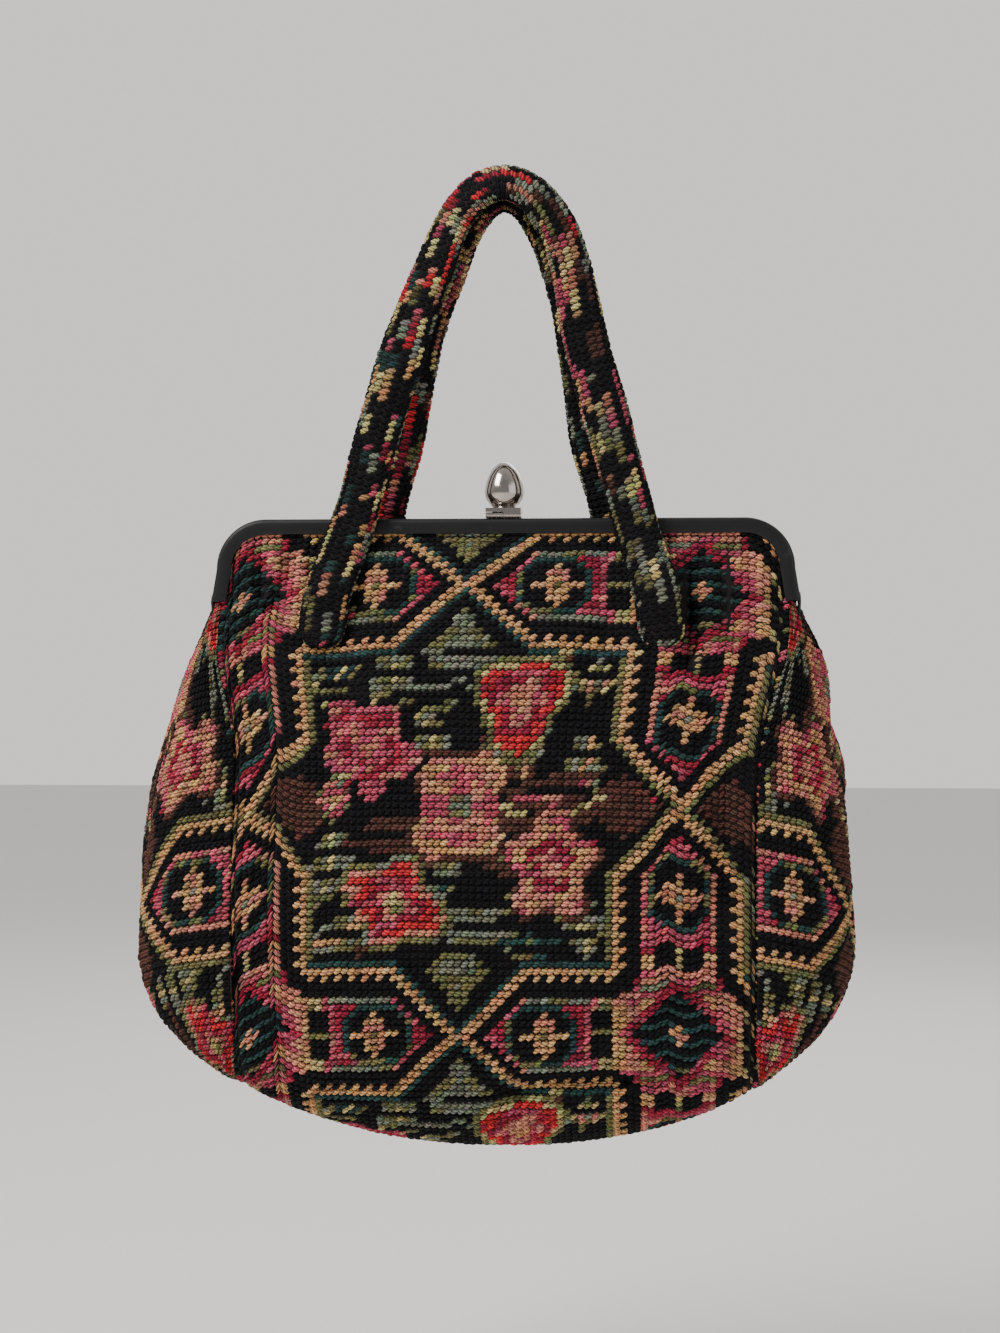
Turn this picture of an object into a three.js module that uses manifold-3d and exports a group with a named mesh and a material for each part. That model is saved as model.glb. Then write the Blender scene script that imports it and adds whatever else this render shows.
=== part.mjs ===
// Tapestry bag for knitting: a padded pouch hung from a hinged metal clasp frame,
// with an acorn knob on its clasp and two padded strap handles.
// Millimetres, +Z up, the front faces -Y. The origin is the underside of the handles'
// top, where the bag hangs on a hook.

import * as THREE from 'three';
import { mergeVertices } from 'three/addons/utils/BufferGeometryUtils.js';
import Module from 'manifold-3d';

const wasm = await Module();
wasm.setup();

// ---- Driving dimensions ----

const HANG_DROP = 145;          // from the hanging point down to the frame's top edge
const GAP = 0.3;                // clearance between pieces that touch
const RUNNING_GAP = 0.3;        // clearance of a pin in its hole

const FRAME_WIDTH = 266;        // outside, at the corners
const FRAME_SPLAY = 2.5;        // how much further out each arm's end stands
const FRAME_CORNER_R = 23;
const FRAME_BAND = 6;           // height of the rolled steel channel
const FRAME_HALF_DEPTH = 8;     // front to back of one half
const FRAME_WALL = 1;
const ARM_LENGTH = 38;          // frame top to the end of an arm's channel
const PIVOT_DROP = 45;          // frame top to the hinge rivet
const LUG_R = 5;
const LUG_THICKNESS = 1.2;
const HINGE_PIN_R = 1.6;
const HINGE_HEAD_R = 3.4;
const HINGE_HEAD_HEIGHT = 1.2;

const POUCH_WIDTH = 326;        // widest
const POUCH_DROP = 287;         // frame top to the lowest point
const WIDEST_DROP = 195;        // frame top to the widest level
const BELLY_DROP = 185;         // frame top to the deepest level
const FRONT_BULGE = 54;
const REAR_BULGE = 56;          // before the wall flattens it
const REAR_FLAT = 42;           // where the rear lies flat against a wall
const FLAT_EASE = 6;            // depth over which the rear rounds into its flat
const SEAM_SPACING = 240;       // between the two side seams of a panel
const TAPESTRY = 2;             // thickness of the tapestry cloth
const LINING = 0.8;             // thickness of the lining
const LINING_GAP = 0.9;         // the loose fit of the lining inside the tapestry
const SWEEP_GAP = 6;            // open height left for the upper cloth to swing past the lower
const TOP_CLOTH_DROP = 60;      // frame top to the lower edge of the cloth that swings
const CORD_R = 1;               // the cord that wedges the cloth in the frame

const STRAP_WIDTH = 19.5;
const STRAP_THICKNESS = 7.6;
const STRAP_WALL = 1.6;
const CORE_GAP = 0.8;           // between a handle's sleeve and its filling
const STRAP_NEST_GAP = 1.8;     // between the two handles where they lie over the hook
const TAB_THICKNESS = 4.4;
const TAB_LENGTH = 18;
const HANDLE_PIVOT_DROP = 36;   // frame top to the line a handle folds about
const HANDLE_END_RISE = 1;      // the fold line to the end of the padded strap
const FRONT_TAB_SPACING = 154;
const REAR_TAB_SPACING = 122;

const KNOB_WIDTH = 16.3;
const KNOB_HEIGHT = 20.1;
const KNOB_NECK_R = 4.9;
const CLASP_WIDTH = 16.2;
const CLASP_PLATE = 1.8;        // thickness of the lever plate
const CLASP_SHEET = 0.8;        // thickness of the base and catch plates
const BARREL_R = 1.15;
const CLASP_PIN_R = 0.45;
const CATCH_RIB_HEIGHT = 1.2;
const RIVET_R = 0.7;
const RIVET_HEAD_R = 1.3;
const RIVET_HEAD_HEIGHT = 0.6;
const RIVET_SPACING = 11;

// ---- Levels worked out from them ----

const TOP = -HANG_DROP;
const ARM_END = TOP - ARM_LENGTH;
const PIVOT_Z = TOP - PIVOT_DROP;
const CORNER_HALF = FRAME_WIDTH / 2;
const ARM_HALF = CORNER_HALF + FRAME_SPLAY;
const BOTTOM = TOP - POUCH_DROP;
const WIDEST_Z = TOP - WIDEST_DROP;
const BELLY_Z = TOP - BELLY_DROP;
const HALF_WIDTH = POUCH_WIDTH / 2;
const SEAM_X = SEAM_SPACING / 2;
const RIM_EASE = 14 + (HALF_WIDTH - CORNER_HALF - 30) / 2;   // the cloth's rise beside the frame
const PANEL_ROWS = Math.ceil(POUCH_DROP / 24);
const TOP_COLUMNS = 2 * Math.ceil(HALF_WIDTH / 16.5);
const TOP_ROWS = 1 + Math.ceil(TOP_CLOTH_DROP / 12);
const GUSSET_COLUMNS = 2 * Math.ceil((HALF_WIDTH - SEAM_X) / 11);
const TOP_CLOTH_END = TOP - TOP_CLOTH_DROP;
const LOWER_CLOTH_TOP = TOP_CLOTH_END - SWEEP_GAP;
const CLOTH_Y = GAP + FRAME_HALF_DEPTH - FRAME_WALL - GAP;   // cloth's face in the channel
const HANDLE_PIVOT_Z = TOP - HANDLE_PIVOT_DROP;
const CLASP_RIVET_Y = GAP + FRAME_HALF_DEPTH / 2 - 0.6;

// ---- Materials ----

const material = (color, roughness, metalness) =>
    new THREE.MeshStandardMaterial({ color, roughness, metalness });
const blackEnamel = () => material(0x17171a, 0.5, 0.6);
const nickel = () => material(0xc9c6c0, 0.18, 1);
const tapestry = () => material(0x3a2a28, 0.95, 0);
const cotton = () => material(0x2b2724, 0.9, 0);
const paperCord = () => material(0xb59b74, 0.9, 0);
const wadding = () => material(0xe4dfd2, 0.95, 0);

// ---- Helpers ----

const bag = new THREE.Group();

function addPiece(name, geometry, finish) {
    const mesh = new THREE.Mesh(geometry, finish);
    mesh.name = name;
    bag.add(mesh);
    return mesh;
}

function toSolid(geometry) {
    const bare = geometry.clone();
    bare.deleteAttribute('normal');
    bare.deleteAttribute('uv');
    const merged = mergeVertices(bare, 1e-4);
    return new wasm.Manifold(new wasm.Mesh({
        numProp: 3,
        vertProperties: new Float32Array(merged.attributes.position.array),
        triVerts: new Uint32Array(merged.index.array),
    }));
}

function toGeometry(solid) {
    const mesh = solid.getMesh();
    const geometry = new THREE.BufferGeometry();
    geometry.setAttribute('position', new THREE.BufferAttribute(new Float32Array(mesh.vertProperties), 3));
    geometry.setIndex(new THREE.BufferAttribute(new Uint32Array(mesh.triVerts), 1));
    return geometry;
}

function join(...geometries) {
    return toGeometry(geometries.map(toSolid).reduce((all, next) => all.add(next)));
}

function cut(body, ...tools) {
    return toGeometry(tools.map(toSolid).reduce((left, tool) => left.subtract(tool), toSolid(body)));
}

function block(x0, x1, y0, y1, z0, z1) {
    return new THREE.BoxGeometry(x1 - x0, y1 - y0, z1 - z0)
        .translate((x0 + x1) / 2, (y0 + y1) / 2, (z0 + z1) / 2);
}

function rodX(radius, x0, x1, y, z, sides = 16) {
    return new THREE.CylinderGeometry(radius, radius, x1 - x0, sides)
        .rotateZ(Math.PI / 2).translate((x0 + x1) / 2, y, z);
}

function rodZ(radius, z0, z1, x, y, sides = 16) {
    return new THREE.CylinderGeometry(radius, radius, z1 - z0, sides)
        .rotateX(Math.PI / 2).translate(x, y, (z0 + z1) / 2);
}

// Moves every vertex of a geometry by a function of its own place.
function bend(geometry, place) {
    const position = geometry.attributes.position;
    const point = new THREE.Vector3();
    for (let i = 0; i < position.count; i += 1) {
        point.fromBufferAttribute(position, i);
        const [x, y, z] = place(point.x, point.y, point.z);
        position.setXYZ(i, x, y, z);
    }
    return geometry;
}

const ease = (t) => {
    const s = Math.min(1, Math.max(0, t));
    return s * s * (3 - 2 * s);
};

// ---- Frame ----

// The arch of the frame, `inset` inside its outer edge, down to `end`.
function archPoints(inset, end, cornerSteps = 7) {
    const radius = Math.max(FRAME_CORNER_R - inset, 1);
    const centreX = CORNER_HALF - inset - radius;
    const centreZ = TOP - inset - radius;
    const slope = FRAME_SPLAY / (ARM_LENGTH - FRAME_CORNER_R);
    const endX = CORNER_HALF - inset + slope * Math.max(0, centreZ - end);
    const right = [];
    for (let i = 0; i <= cornerSteps; i += 1) {
        const turn = (Math.PI / 2) * (1 - i / cornerSteps);
        right.push([centreX + radius * Math.cos(turn), centreZ + radius * Math.sin(turn)]);
    }
    right.push([endX, end]);
    const left = right.map(([x, z]) => [-x, z]).reverse();
    return [...left, ...right];
}

// The flat arch between two insets, as thick as y0 to y1.
function archBand(outerInset, innerInset, end, y0, y1) {
    const outline = [...archPoints(outerInset, end), ...archPoints(innerInset, end).reverse()];
    const shape = new THREE.Shape(outline.map(([x, z]) => new THREE.Vector2(x, z)));
    return new THREE.ExtrudeGeometry(shape, { depth: y1 - y0, bevelEnabled: false })
        .rotateX(Math.PI / 2).translate(0, y1, 0);
}

// A hinge lug in its own layer of X, for the half on the given side of Y = 0.
function lug(x0, x1, side) {
    const near = side * GAP;
    const far = side * (GAP + FRAME_HALF_DEPTH);
    const neck = [[far, ARM_END + LUG_R], [near, ARM_END + LUG_R], [near, PIVOT_Z], [side * LUG_R, PIVOT_Z]];
    const shape = new THREE.Shape(neck.map(([y, z]) => new THREE.Vector2(y, z)));
    const strip = new THREE.ExtrudeGeometry(shape, { depth: x1 - x0, bevelEnabled: false })
        .rotateX(Math.PI / 2).rotateZ(Math.PI / 2).translate(x0, 0, 0);
    return [strip, rodX(LUG_R, x0, x1, 0, PIVOT_Z, 20)];
}

const LUG_OUTER = ARM_HALF - LUG_THICKNESS;
const LUG_INNER = LUG_OUTER - GAP - LUG_THICKNESS;

function frameHalf(side) {
    const y0 = Math.min(side * GAP, side * (GAP + FRAME_HALF_DEPTH));
    const y1 = y0 + FRAME_HALF_DEPTH;
    const band = archBand(0, FRAME_BAND, ARM_END, y0, y1);
    const hollow = archBand(FRAME_WALL, FRAME_BAND + 2, ARM_END - 4, y0 + FRAME_WALL, y1 - FRAME_WALL);
    const lugX = side < 0 ? LUG_OUTER : LUG_INNER;
    const lugs = [-1, 1].flatMap((hand) => {
        const x0 = hand > 0 ? lugX : -lugX - LUG_THICKNESS;
        return lug(x0, x0 + LUG_THICKNESS, side);
    });
    const holes = [-1, 1].map((hand) =>
        rodX(HINGE_PIN_R + RUNNING_GAP, hand * ARM_HALF - 8, hand * ARM_HALF + 8, 0, PIVOT_Z));
    const rivetHoles = [-1, 1].map((hand) =>
        rodZ(RIVET_R + GAP, TOP - FRAME_WALL - 1, TOP + 1, hand * RIVET_SPACING / 2, side * CLASP_RIVET_Y));
    return cut(join(cut(band, hollow), ...lugs), ...holes, ...rivetHoles);
}

addPiece('front_frame', frameHalf(-1), blackEnamel());
addPiece('rear_frame', frameHalf(1), blackEnamel());

// One rivet: a shank through both lugs, with a head at each end.
function hingeRivet(hand) {
    const inner = LUG_INNER - GAP;
    const outer = ARM_HALF + GAP;
    const x = (from, to) => (hand > 0 ? [from, to] : [-to, -from]);
    return join(
        rodX(HINGE_PIN_R, ...x(inner - 0.5, outer + 0.5), 0, PIVOT_Z),
        rodX(HINGE_HEAD_R - 0.8, ...x(inner - HINGE_HEAD_HEIGHT, inner), 0, PIVOT_Z),
        rodX(HINGE_HEAD_R, ...x(outer, outer + HINGE_HEAD_HEIGHT), 0, PIVOT_Z, 16),
    );
}

addPiece('left_hinge_rivet', hingeRivet(-1), nickel());
addPiece('right_hinge_rivet', hingeRivet(1), nickel());

// The paper cord pressed into the channel to hold the cloth.
function channelCord(side) {
    const depth = CLOTH_Y - TAPESTRY - GAP - CORD_R;
    const middle = archPoints(FRAME_WALL + FRAME_BAND / 2, ARM_END + 2, 5);
    const points = middle.map(([x, z]) => new THREE.Vector3(x, side * depth, z));
    const line = new THREE.CurvePath();
    for (let i = 1; i < points.length; i += 1) {
        line.add(new THREE.LineCurve3(points[i - 1], points[i]));
    }
    const section = new THREE.Shape().absarc(0, 0, CORD_R, 0, Math.PI * 2);
    return new THREE.ExtrudeGeometry(section, {
        steps: 40, curveSegments: 4, bevelEnabled: false, extrudePath: line,
    });
}

addPiece('front_channel_cord', channelCord(-1), paperCord());
addPiece('rear_channel_cord', channelCord(1), paperCord());

// ---- Clasp ----

const BARREL_Z = TOP + GAP + BARREL_R;
const BARREL_Y = -(GAP + FRAME_HALF_DEPTH) + BARREL_R;
const SHEET_Z = TOP + GAP;
const PLATE_Z = BARREL_Z + BARREL_R + GAP;
const PLATE_TOP = PLATE_Z + CLASP_PLATE;
const PLATE_BACK = GAP + FRAME_HALF_DEPTH - 0.2;
const CATCH_BACK = PLATE_BACK - 1.2 - GAP;

// Half of the clasp's barrel, on the given side of the slit in the middle.
function barrel(hand) {
    const half = CLASP_WIDTH / 2;
    const x0 = hand > 0 ? GAP / 2 : -half;
    return rodX(BARREL_R, x0, x0 + half - GAP / 2, BARREL_Y, BARREL_Z, 16);
}

function pinHole() {
    return rodX(CLASP_PIN_R + RUNNING_GAP, -CLASP_WIDTH, CLASP_WIDTH, BARREL_Y, BARREL_Z, 12);
}

function claspRivetHoles(side) {
    return [-1, 1].map((hand) =>
        rodZ(RIVET_R + GAP, SHEET_Z - 1, SHEET_Z + 2, hand * RIVET_SPACING / 2, side * CLASP_RIVET_Y));
}

function claspBase() {
    const half = CLASP_WIDTH / 2;
    const sheet = block(-half, half, BARREL_Y + BARREL_R + GAP, -GAP, SHEET_Z, SHEET_Z + CLASP_SHEET);
    const root = block(-half, -GAP / 2, BARREL_Y, BARREL_Y + BARREL_R + 1, SHEET_Z, SHEET_Z + CLASP_SHEET);
    return cut(join(sheet, root, barrel(-1)), pinHole(), ...claspRivetHoles(-1));
}

function claspLever() {
    const half = CLASP_WIDTH / 2;
    const front = BARREL_Y - BARREL_R;
    const plate = block(-half, half, front, PLATE_BACK, PLATE_Z, PLATE_TOP);
    const web = block(GAP / 2, half, front, BARREL_Y, BARREL_Z, PLATE_Z + 0.5);
    const hook = block(-half + 2, half - 2, PLATE_BACK - 1.2, PLATE_BACK, SHEET_Z + 1.4, PLATE_Z + 0.5);
    const screwHole = rodZ(1.5 + GAP, PLATE_Z - 1, PLATE_TOP + 1, 0, 0);
    return cut(join(plate, web, hook, barrel(1)), pinHole(), screwHole);
}

function catchPlate() {
    const half = CLASP_WIDTH / 2;
    const sheet = block(-half, half, GAP, CATCH_BACK, SHEET_Z, SHEET_Z + CLASP_SHEET);
    const rib = block(-half, half, CATCH_BACK - 0.8, CATCH_BACK, SHEET_Z, SHEET_Z + CATCH_RIB_HEIGHT);
    return cut(join(sheet, rib), ...claspRivetHoles(1));
}

// The acorn: a narrow neck, a wide low shoulder and a rounded tip.
function acornKnob() {
    const radius = KNOB_WIDTH / 2;
    const base = PLATE_TOP + GAP;
    const profile = [
        [0, 0], [KNOB_NECK_R, 0], [KNOB_NECK_R, 0.05], [0.86, 0.13], [0.98, 0.26],
        [1, 0.36], [0.97, 0.5], [0.86, 0.66], [0.66, 0.81], [0.4, 0.93], [0.16, 0.99], [0, 1],
    ].map(([r, h]) => new THREE.Vector2(r > 1 ? r : r * radius, h * KNOB_HEIGHT));
    const knob = new THREE.LatheGeometry(profile, 20).rotateX(Math.PI / 2).translate(0, 0, base);
    return cut(knob, rodZ(1.5 + GAP, base - 1, base + KNOB_HEIGHT / 2, 0, 0));
}

function knobScrew() {
    return join(
        rodZ(1.5, PLATE_Z - 0.5, PLATE_TOP + KNOB_HEIGHT / 2 - 1, 0, 0),
        rodZ(2.6, PLATE_Z - GAP - 0.9, PLATE_Z - GAP, 0, 0),
    );
}

function claspRivet(x, y) {
    const under = TOP - FRAME_WALL - GAP;
    const over = SHEET_Z + CLASP_SHEET + GAP;
    return join(
        rodZ(RIVET_R, under - 0.2, over + 0.2, x, y, 12),
        rodZ(RIVET_HEAD_R, under - RIVET_HEAD_HEIGHT, under, x, y, 12),
        rodZ(RIVET_HEAD_R, over, over + RIVET_HEAD_HEIGHT, x, y, 12),
    );
}

addPiece('clasp_base', claspBase(), nickel());
addPiece('clasp_pin',
    rodX(CLASP_PIN_R, -CLASP_WIDTH / 2, CLASP_WIDTH / 2, BARREL_Y, BARREL_Z, 12), nickel());
addPiece('clasp_lever', claspLever(), nickel());
addPiece('acorn_knob', acornKnob(), nickel());
addPiece('knob_screw', knobScrew(), nickel());
addPiece('catch_plate', catchPlate(), nickel());
for (const [hand, word] of [[-1, 'left'], [1, 'right']]) {
    const x = hand * RIVET_SPACING / 2;
    addPiece(`clasp_base_rivet_${word}`, claspRivet(x, -CLASP_RIVET_Y), nickel());
    addPiece(`catch_rivet_${word}`, claspRivet(x, CLASP_RIVET_Y), nickel());
}

// ---- Pouch ----

const ROUND = 2.8;   // how square a level section of the pouch is

// Half the pouch's width at a level.
function halfWidth(z) {
    if (z < WIDEST_Z) {
        const fall = Math.min(1, (WIDEST_Z - z) / (WIDEST_Z - BOTTOM));
        return HALF_WIDTH * Math.sqrt(1 - fall * fall);
    }
    const rise = (z - WIDEST_Z) / (TOP - WIDEST_Z);
    return HALF_WIDTH - (HALF_WIDTH - CORNER_HALF + FRAME_BAND) * rise * rise;
}

// The level of the pouch's bottom edge under a place across it.
function bottomUnder(x) {
    const out = Math.min(1, Math.abs(x) / HALF_WIDTH);
    return WIDEST_Z - (WIDEST_Z - BOTTOM) * Math.sqrt(1 - out * out);
}

// How far the middle of a side stands out at a level.
function middleDepth(bulge, z) {
    if (z < BELLY_Z) {
        const fall = Math.min(1, (BELLY_Z - z) / (BELLY_Z - BOTTOM));
        return bulge * Math.sqrt(1 - fall * fall);
    }
    const rimZ = TOP - FRAME_BAND - 0.5;
    const down = Math.max(0, (rimZ - z) / (rimZ - BELLY_Z));
    return CLOTH_Y + (bulge - CLOTH_Y) * Math.sin((Math.PI / 2) * down ** 0.85);
}

// How far a place is inside the frame's inner edge, growing below the arms' ends.
function insideRim(x, z) {
    const radius = FRAME_CORNER_R - FRAME_BAND;
    const across = Math.abs(x) - (CORNER_HALF - FRAME_CORNER_R);
    const up = z - (TOP - FRAME_CORNER_R);
    const inside = across > 0 && up > 0
        ? radius - Math.hypot(across, up)
        : radius - Math.max(across, up);
    return inside - 3 + 1.4 * Math.max(0, ARM_END - z);
}

// The rear's depth where it meets the wall, rounding into a flat.
function flatten(side, depth) {
    if (side < 0 || depth < REAR_FLAT - FLAT_EASE) {
        return depth;
    }
    const left = Math.max(0, REAR_FLAT + FLAT_EASE - depth);
    return REAR_FLAT - (left * left) / (4 * FLAT_EASE);
}

// How far the cloth stands out from the middle plane, before the wall flattens it.
function roundDepth(side, x, z) {
    const bulge = side < 0 ? FRONT_BULGE : REAR_BULGE;
    const middle = middleDepth(bulge, z);
    const loose = ease((TOP_CLOTH_END - z) / SWEEP_GAP + 2);
    const base = CLOTH_Y * (1 - loose);
    const power = 1 + (1 / ROUND - 1) * loose;
    const out = Math.min(1, Math.abs(x) / Math.max(halfWidth(z), 0.01));
    const rim = z > LOWER_CLOTH_TOP ? ease(insideRim(x, z) / RIM_EASE) : 1;
    return base + (middle - base) * (1 - out ** ROUND) ** power * rim;
}

function clothDepth(side, x, z) {
    return flatten(side, roundDepth(side, x, z));
}

// A closed sheet between two depths below a surface (u, v) -> [x, y, z].
function sheet(surface, uSteps, vSteps, near, far, sideOut, u0 = 0, u1 = 1, v0 = 0, v1 = 1) {
    const small = 1e-3;
    const at = (u, v) => new THREE.Vector3(...surface(u, v));
    return bend(new THREE.BoxGeometry(1, 1, 1, uSteps, 1, vSteps), (a, b, c) => {
        const u = u0 + (a + 0.5) * (u1 - u0);
        const v = v0 + (0.5 - c) * (v1 - v0);
        const along = at(Math.min(1, u + small), v).sub(at(Math.max(0, u - small), v));
        const down = at(u, Math.min(1, v + small)).sub(at(u, Math.max(0, v - small)));
        const outward = along.cross(down).normalize().multiplyScalar(sideOut);
        const depth = b * sideOut > 0 ? near : far;
        const point = at(u, v).addScaledVector(outward, -depth);
        return [point.x, point.y, point.z];
    });
}

// The cloth below the hinges, as a surface: u across, v down to the bottom seam.
function lowerCloth(side) {
    return (u, v) => {
        const x = (2 * u - 1) * (SEAM_X - GAP / 2);
        const end = bottomUnder(x);
        const z = LOWER_CLOTH_TOP + (end - LOWER_CLOTH_TOP) * Math.sin((Math.PI / 2) * v);
        return [x, side * (clothDepth(side, x, z) + GAP / 2), z];
    };
}

// Spreads -1..1 so that `knee` falls at `free` and 1 at `reach`.
function stretch(share, knee, free, reach) {
    const size = Math.abs(share);
    const out = size < knee ? free * size / knee : free + (reach - free) * (size - knee) / (1 - knee);
    return Math.sign(share) * out;
}

// The cloth held in the frame's channel, from the frame down past the hinges.
function upperCloth(side, reach) {
    return (u, v) => {
        const free = CORNER_HALF - FRAME_BAND - 0.5;
        const x = stretch(2 * u - 1, 1 - 2 / TOP_COLUMNS, free, reach);
        const radius = FRAME_CORNER_R - FRAME_WALL - 2 * GAP;
        const over = Math.max(0, Math.abs(x) - (CORNER_HALF - FRAME_CORNER_R));
        const drop = radius - Math.sqrt(radius * radius - over * over);
        const start = TOP - FRAME_WALL - 1.8 - drop;
        const rim = Math.min(TOP - FRAME_BAND - 0.5, start - 1);
        const row = v * TOP_ROWS;
        const z = row < 1
            ? start + (rim - start) * row
            : rim + (TOP_CLOTH_END - rim) * (row - 1) / (TOP_ROWS - 1);
        return [x, side * clothDepth(side, x, z), z];
    };
}

// A side gusset: u from the front seam round to the rear seam, v down.
function gusset(hand) {
    return (u, v) => {
        const z = LOWER_CLOTH_TOP + (bottomUnder(SEAM_X) - LOWER_CLOTH_TOP) * Math.sin((Math.PI / 2) * v);
        const side = u < 0.5 ? -1 : 1;
        const bulge = side < 0 ? FRONT_BULGE : REAR_BULGE;
        const away = Math.sin((Math.PI / 2) * Math.abs(2 * u - 1));
        const depth = roundDepth(side, SEAM_X + GAP, z) * away;
        const share = (depth / middleDepth(bulge, z)) ** ROUND;
        const x = halfWidth(z) * (1 - share) ** (1 / ROUND);
        return [hand * x, side * flatten(side, depth), z];
    };
}

const UP_REACH = CORNER_HALF - FRAME_BAND + 2.5;
const LINING_NEAR = TAPESTRY + LINING_GAP;
const LAYERS = [
    ['', 0, TAPESTRY, UP_REACH, tapestry],
    ['lining_', LINING_NEAR, LINING_NEAR + LINING, UP_REACH - 1.5, cotton],
];
const GUSSET_END = 1 - 1 / PANEL_ROWS;
for (const [prefix, near, far, reach, finish] of LAYERS) {
    for (const [side, word] of [[-1, 'front'], [1, 'rear']]) {
        // In the channel the lining lies on the other side of the wedging cord.
        const shift = prefix ? 2 * CORD_R + 2 * GAP - LINING_GAP : 0;
        const slack = (surface) => (u, v) => {
            const [x, y, z] = surface(u, v);
            return [x, y - side * shift, z];
        };
        addPiece(`${prefix}${word}_panel`,
            sheet(lowerCloth(side), 14, PANEL_ROWS, near, far, side), finish());
        addPiece(`${prefix}${word}_panel_top`,
            sheet(slack(upperCloth(side, reach)), TOP_COLUMNS, TOP_ROWS, near, far, side), finish());
    }
    for (const [hand, word] of [[-1, 'left'], [1, 'right']]) {
        addPiece(`${prefix}${word}_gusset`,
            sheet(gusset(hand), GUSSET_COLUMNS, PANEL_ROWS - 1, near, far, -hand, 0, 1, 0, GUSSET_END),
            finish());
    }
}

const POCKET_NEAR = LINING_NEAR + LINING + LINING_GAP;
addPiece('lining_pocket',
    sheet(lowerCloth(1), 6, 4, POCKET_NEAR, POCKET_NEAR + LINING, 1, 4 / 14, 10 / 14, 1 / 12, 5 / 12), cotton());

// ---- Handles ----

// The strap's middle line, one leg from the fold line to the top, as [x, y, z] with
// x and y counted from the bag's middle; the other leg mirrors it.
function handleLine(side) {
    const outer = side < 0;
    const apex = outer ? STRAP_THICKNESS * 1.5 + STRAP_NEST_GAP : STRAP_THICKNESS / 2;
    const foot = (outer ? FRONT_TAB_SPACING : REAR_TAB_SPACING) / 2;
    const pivotY = handlePivotY(side);
    const rail = GAP + FRAME_HALF_DEPTH + STRAP_THICKNESS / 2 + 1.6;
    const spread = outer ? 1 : 0.78;
    const leg = [
        [foot, pivotY, HANDLE_PIVOT_Z + HANDLE_END_RISE],
        [foot - 4, (pivotY + rail) / 2 + 1, HANDLE_PIVOT_Z + 17],
        [foot - 8.5, rail, TOP + 2],
        [foot - 20, rail - 2, TOP + 38],
        [45 * spread, rail - 4, TOP + 83],
        [38 * spread, 7.5, TOP + 117],
        [27 * spread, 7, apex - 9],
        [12 * spread, 7, apex - 1.5],
    ];
    const up = leg.map(([x, y, z]) => new THREE.Vector3(-x, side * y, z));
    const down = leg.map(([x, y, z]) => new THREE.Vector3(x, side * y, z)).reverse();
    const top = new THREE.Vector3(0, side * 7, apex);
    return new THREE.CatmullRomCurve3([...up, top, ...down], false, 'centripetal');
}

// Where a handle folds, far enough off the cloth for its rounded end to turn.
function handlePivotY(side) {
    const foot = (side < 0 ? FRONT_TAB_SPACING : REAR_TAB_SPACING) / 2;
    return clothDepth(side, foot, HANDLE_PIVOT_Z) + STRAP_THICKNESS / 2 + 1.4;
}

// The direction of the strap's width: across the bag on the legs, and front to back
// where it lies over the hook.
function strapFrame(line, t, side) {
    const tangent = line.getTangentAt(t);
    const turn = ease((line.getPointAt(t).z - (TOP + 35)) / 115) * (Math.PI / 2);
    const hand = t < 0.5 ? 1 : -1;
    const wide = new THREE.Vector3(Math.cos(turn), hand * side * -Math.sin(turn), 0);
    wide.addScaledVector(tangent, -wide.dot(tangent)).normalize();
    if (t >= 0.5) {
        wide.negate();
    }
    return [wide, new THREE.Vector3().crossVectors(tangent, wide)];
}

function ovalSection(width, thickness) {
    return new THREE.Shape().absellipse(0, 0, width / 2, thickness / 2, 0, Math.PI * 2);
}

// A section carried along a handle's line.
function alongHandle(section, side) {
    const line = handleLine(side);
    const straight = new THREE.ExtrudeGeometry(section, {
        depth: 1, steps: 34, curveSegments: 5, bevelEnabled: false,
    });
    return bend(straight, (x, y, z) => {
        const [wide, thick] = strapFrame(line, z, side);
        const point = line.getPointAt(z).addScaledVector(wide, x).addScaledVector(thick, y);
        return [point.x, point.y, point.z];
    });
}

function handleSleeve(side) {
    const section = ovalSection(STRAP_WIDTH, STRAP_THICKNESS);
    section.holes.push(ovalSection(STRAP_WIDTH - 2 * STRAP_WALL, STRAP_THICKNESS - 2 * STRAP_WALL));
    return alongHandle(section, side);
}

function handleCore(side) {
    const slim = 2 * STRAP_WALL + 2 * CORE_GAP;
    return alongHandle(ovalSection(STRAP_WIDTH - slim, STRAP_THICKNESS - slim), side);
}

// The flattened end of a strap, sewn on the cloth just below the frame.
function handleTab(side, hand) {
    const foot = hand * (side < 0 ? FRONT_TAB_SPACING : REAR_TAB_SPACING) / 2;
    const tabTop = HANDLE_PIVOT_Z - STRAP_THICKNESS / 2 - 2;
    const bottom = Math.max(tabTop - TAB_LENGTH, TOP_CLOTH_END + 1);
    const surface = (u, v) => {
        const narrow = 1 - 0.35 * v * v * v;
        const x = foot + (u - 0.5) * STRAP_WIDTH * narrow;
        const z = tabTop + (bottom - tabTop) * v;
        return [x, side * clothDepth(side, x, z), z];
    };
    return sheet(surface, 4, 5, -TAB_THICKNESS, -3 * GAP, side);
}

for (const [side, word] of [[-1, 'front'], [1, 'rear']]) {
    addPiece(`${word}_handle`, handleSleeve(side), tapestry());
    addPiece(`${word}_handle_core`, handleCore(side), wadding());
    for (const [hand, handWord] of [[-1, 'left'], [1, 'right']]) {
        addPiece(`${word}_handle_${handWord}_tab`, handleTab(side, hand), tapestry());
    }
}

export default bag;
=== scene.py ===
"""A tapestry bag for knitting, hung by its two strap handles."""

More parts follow.
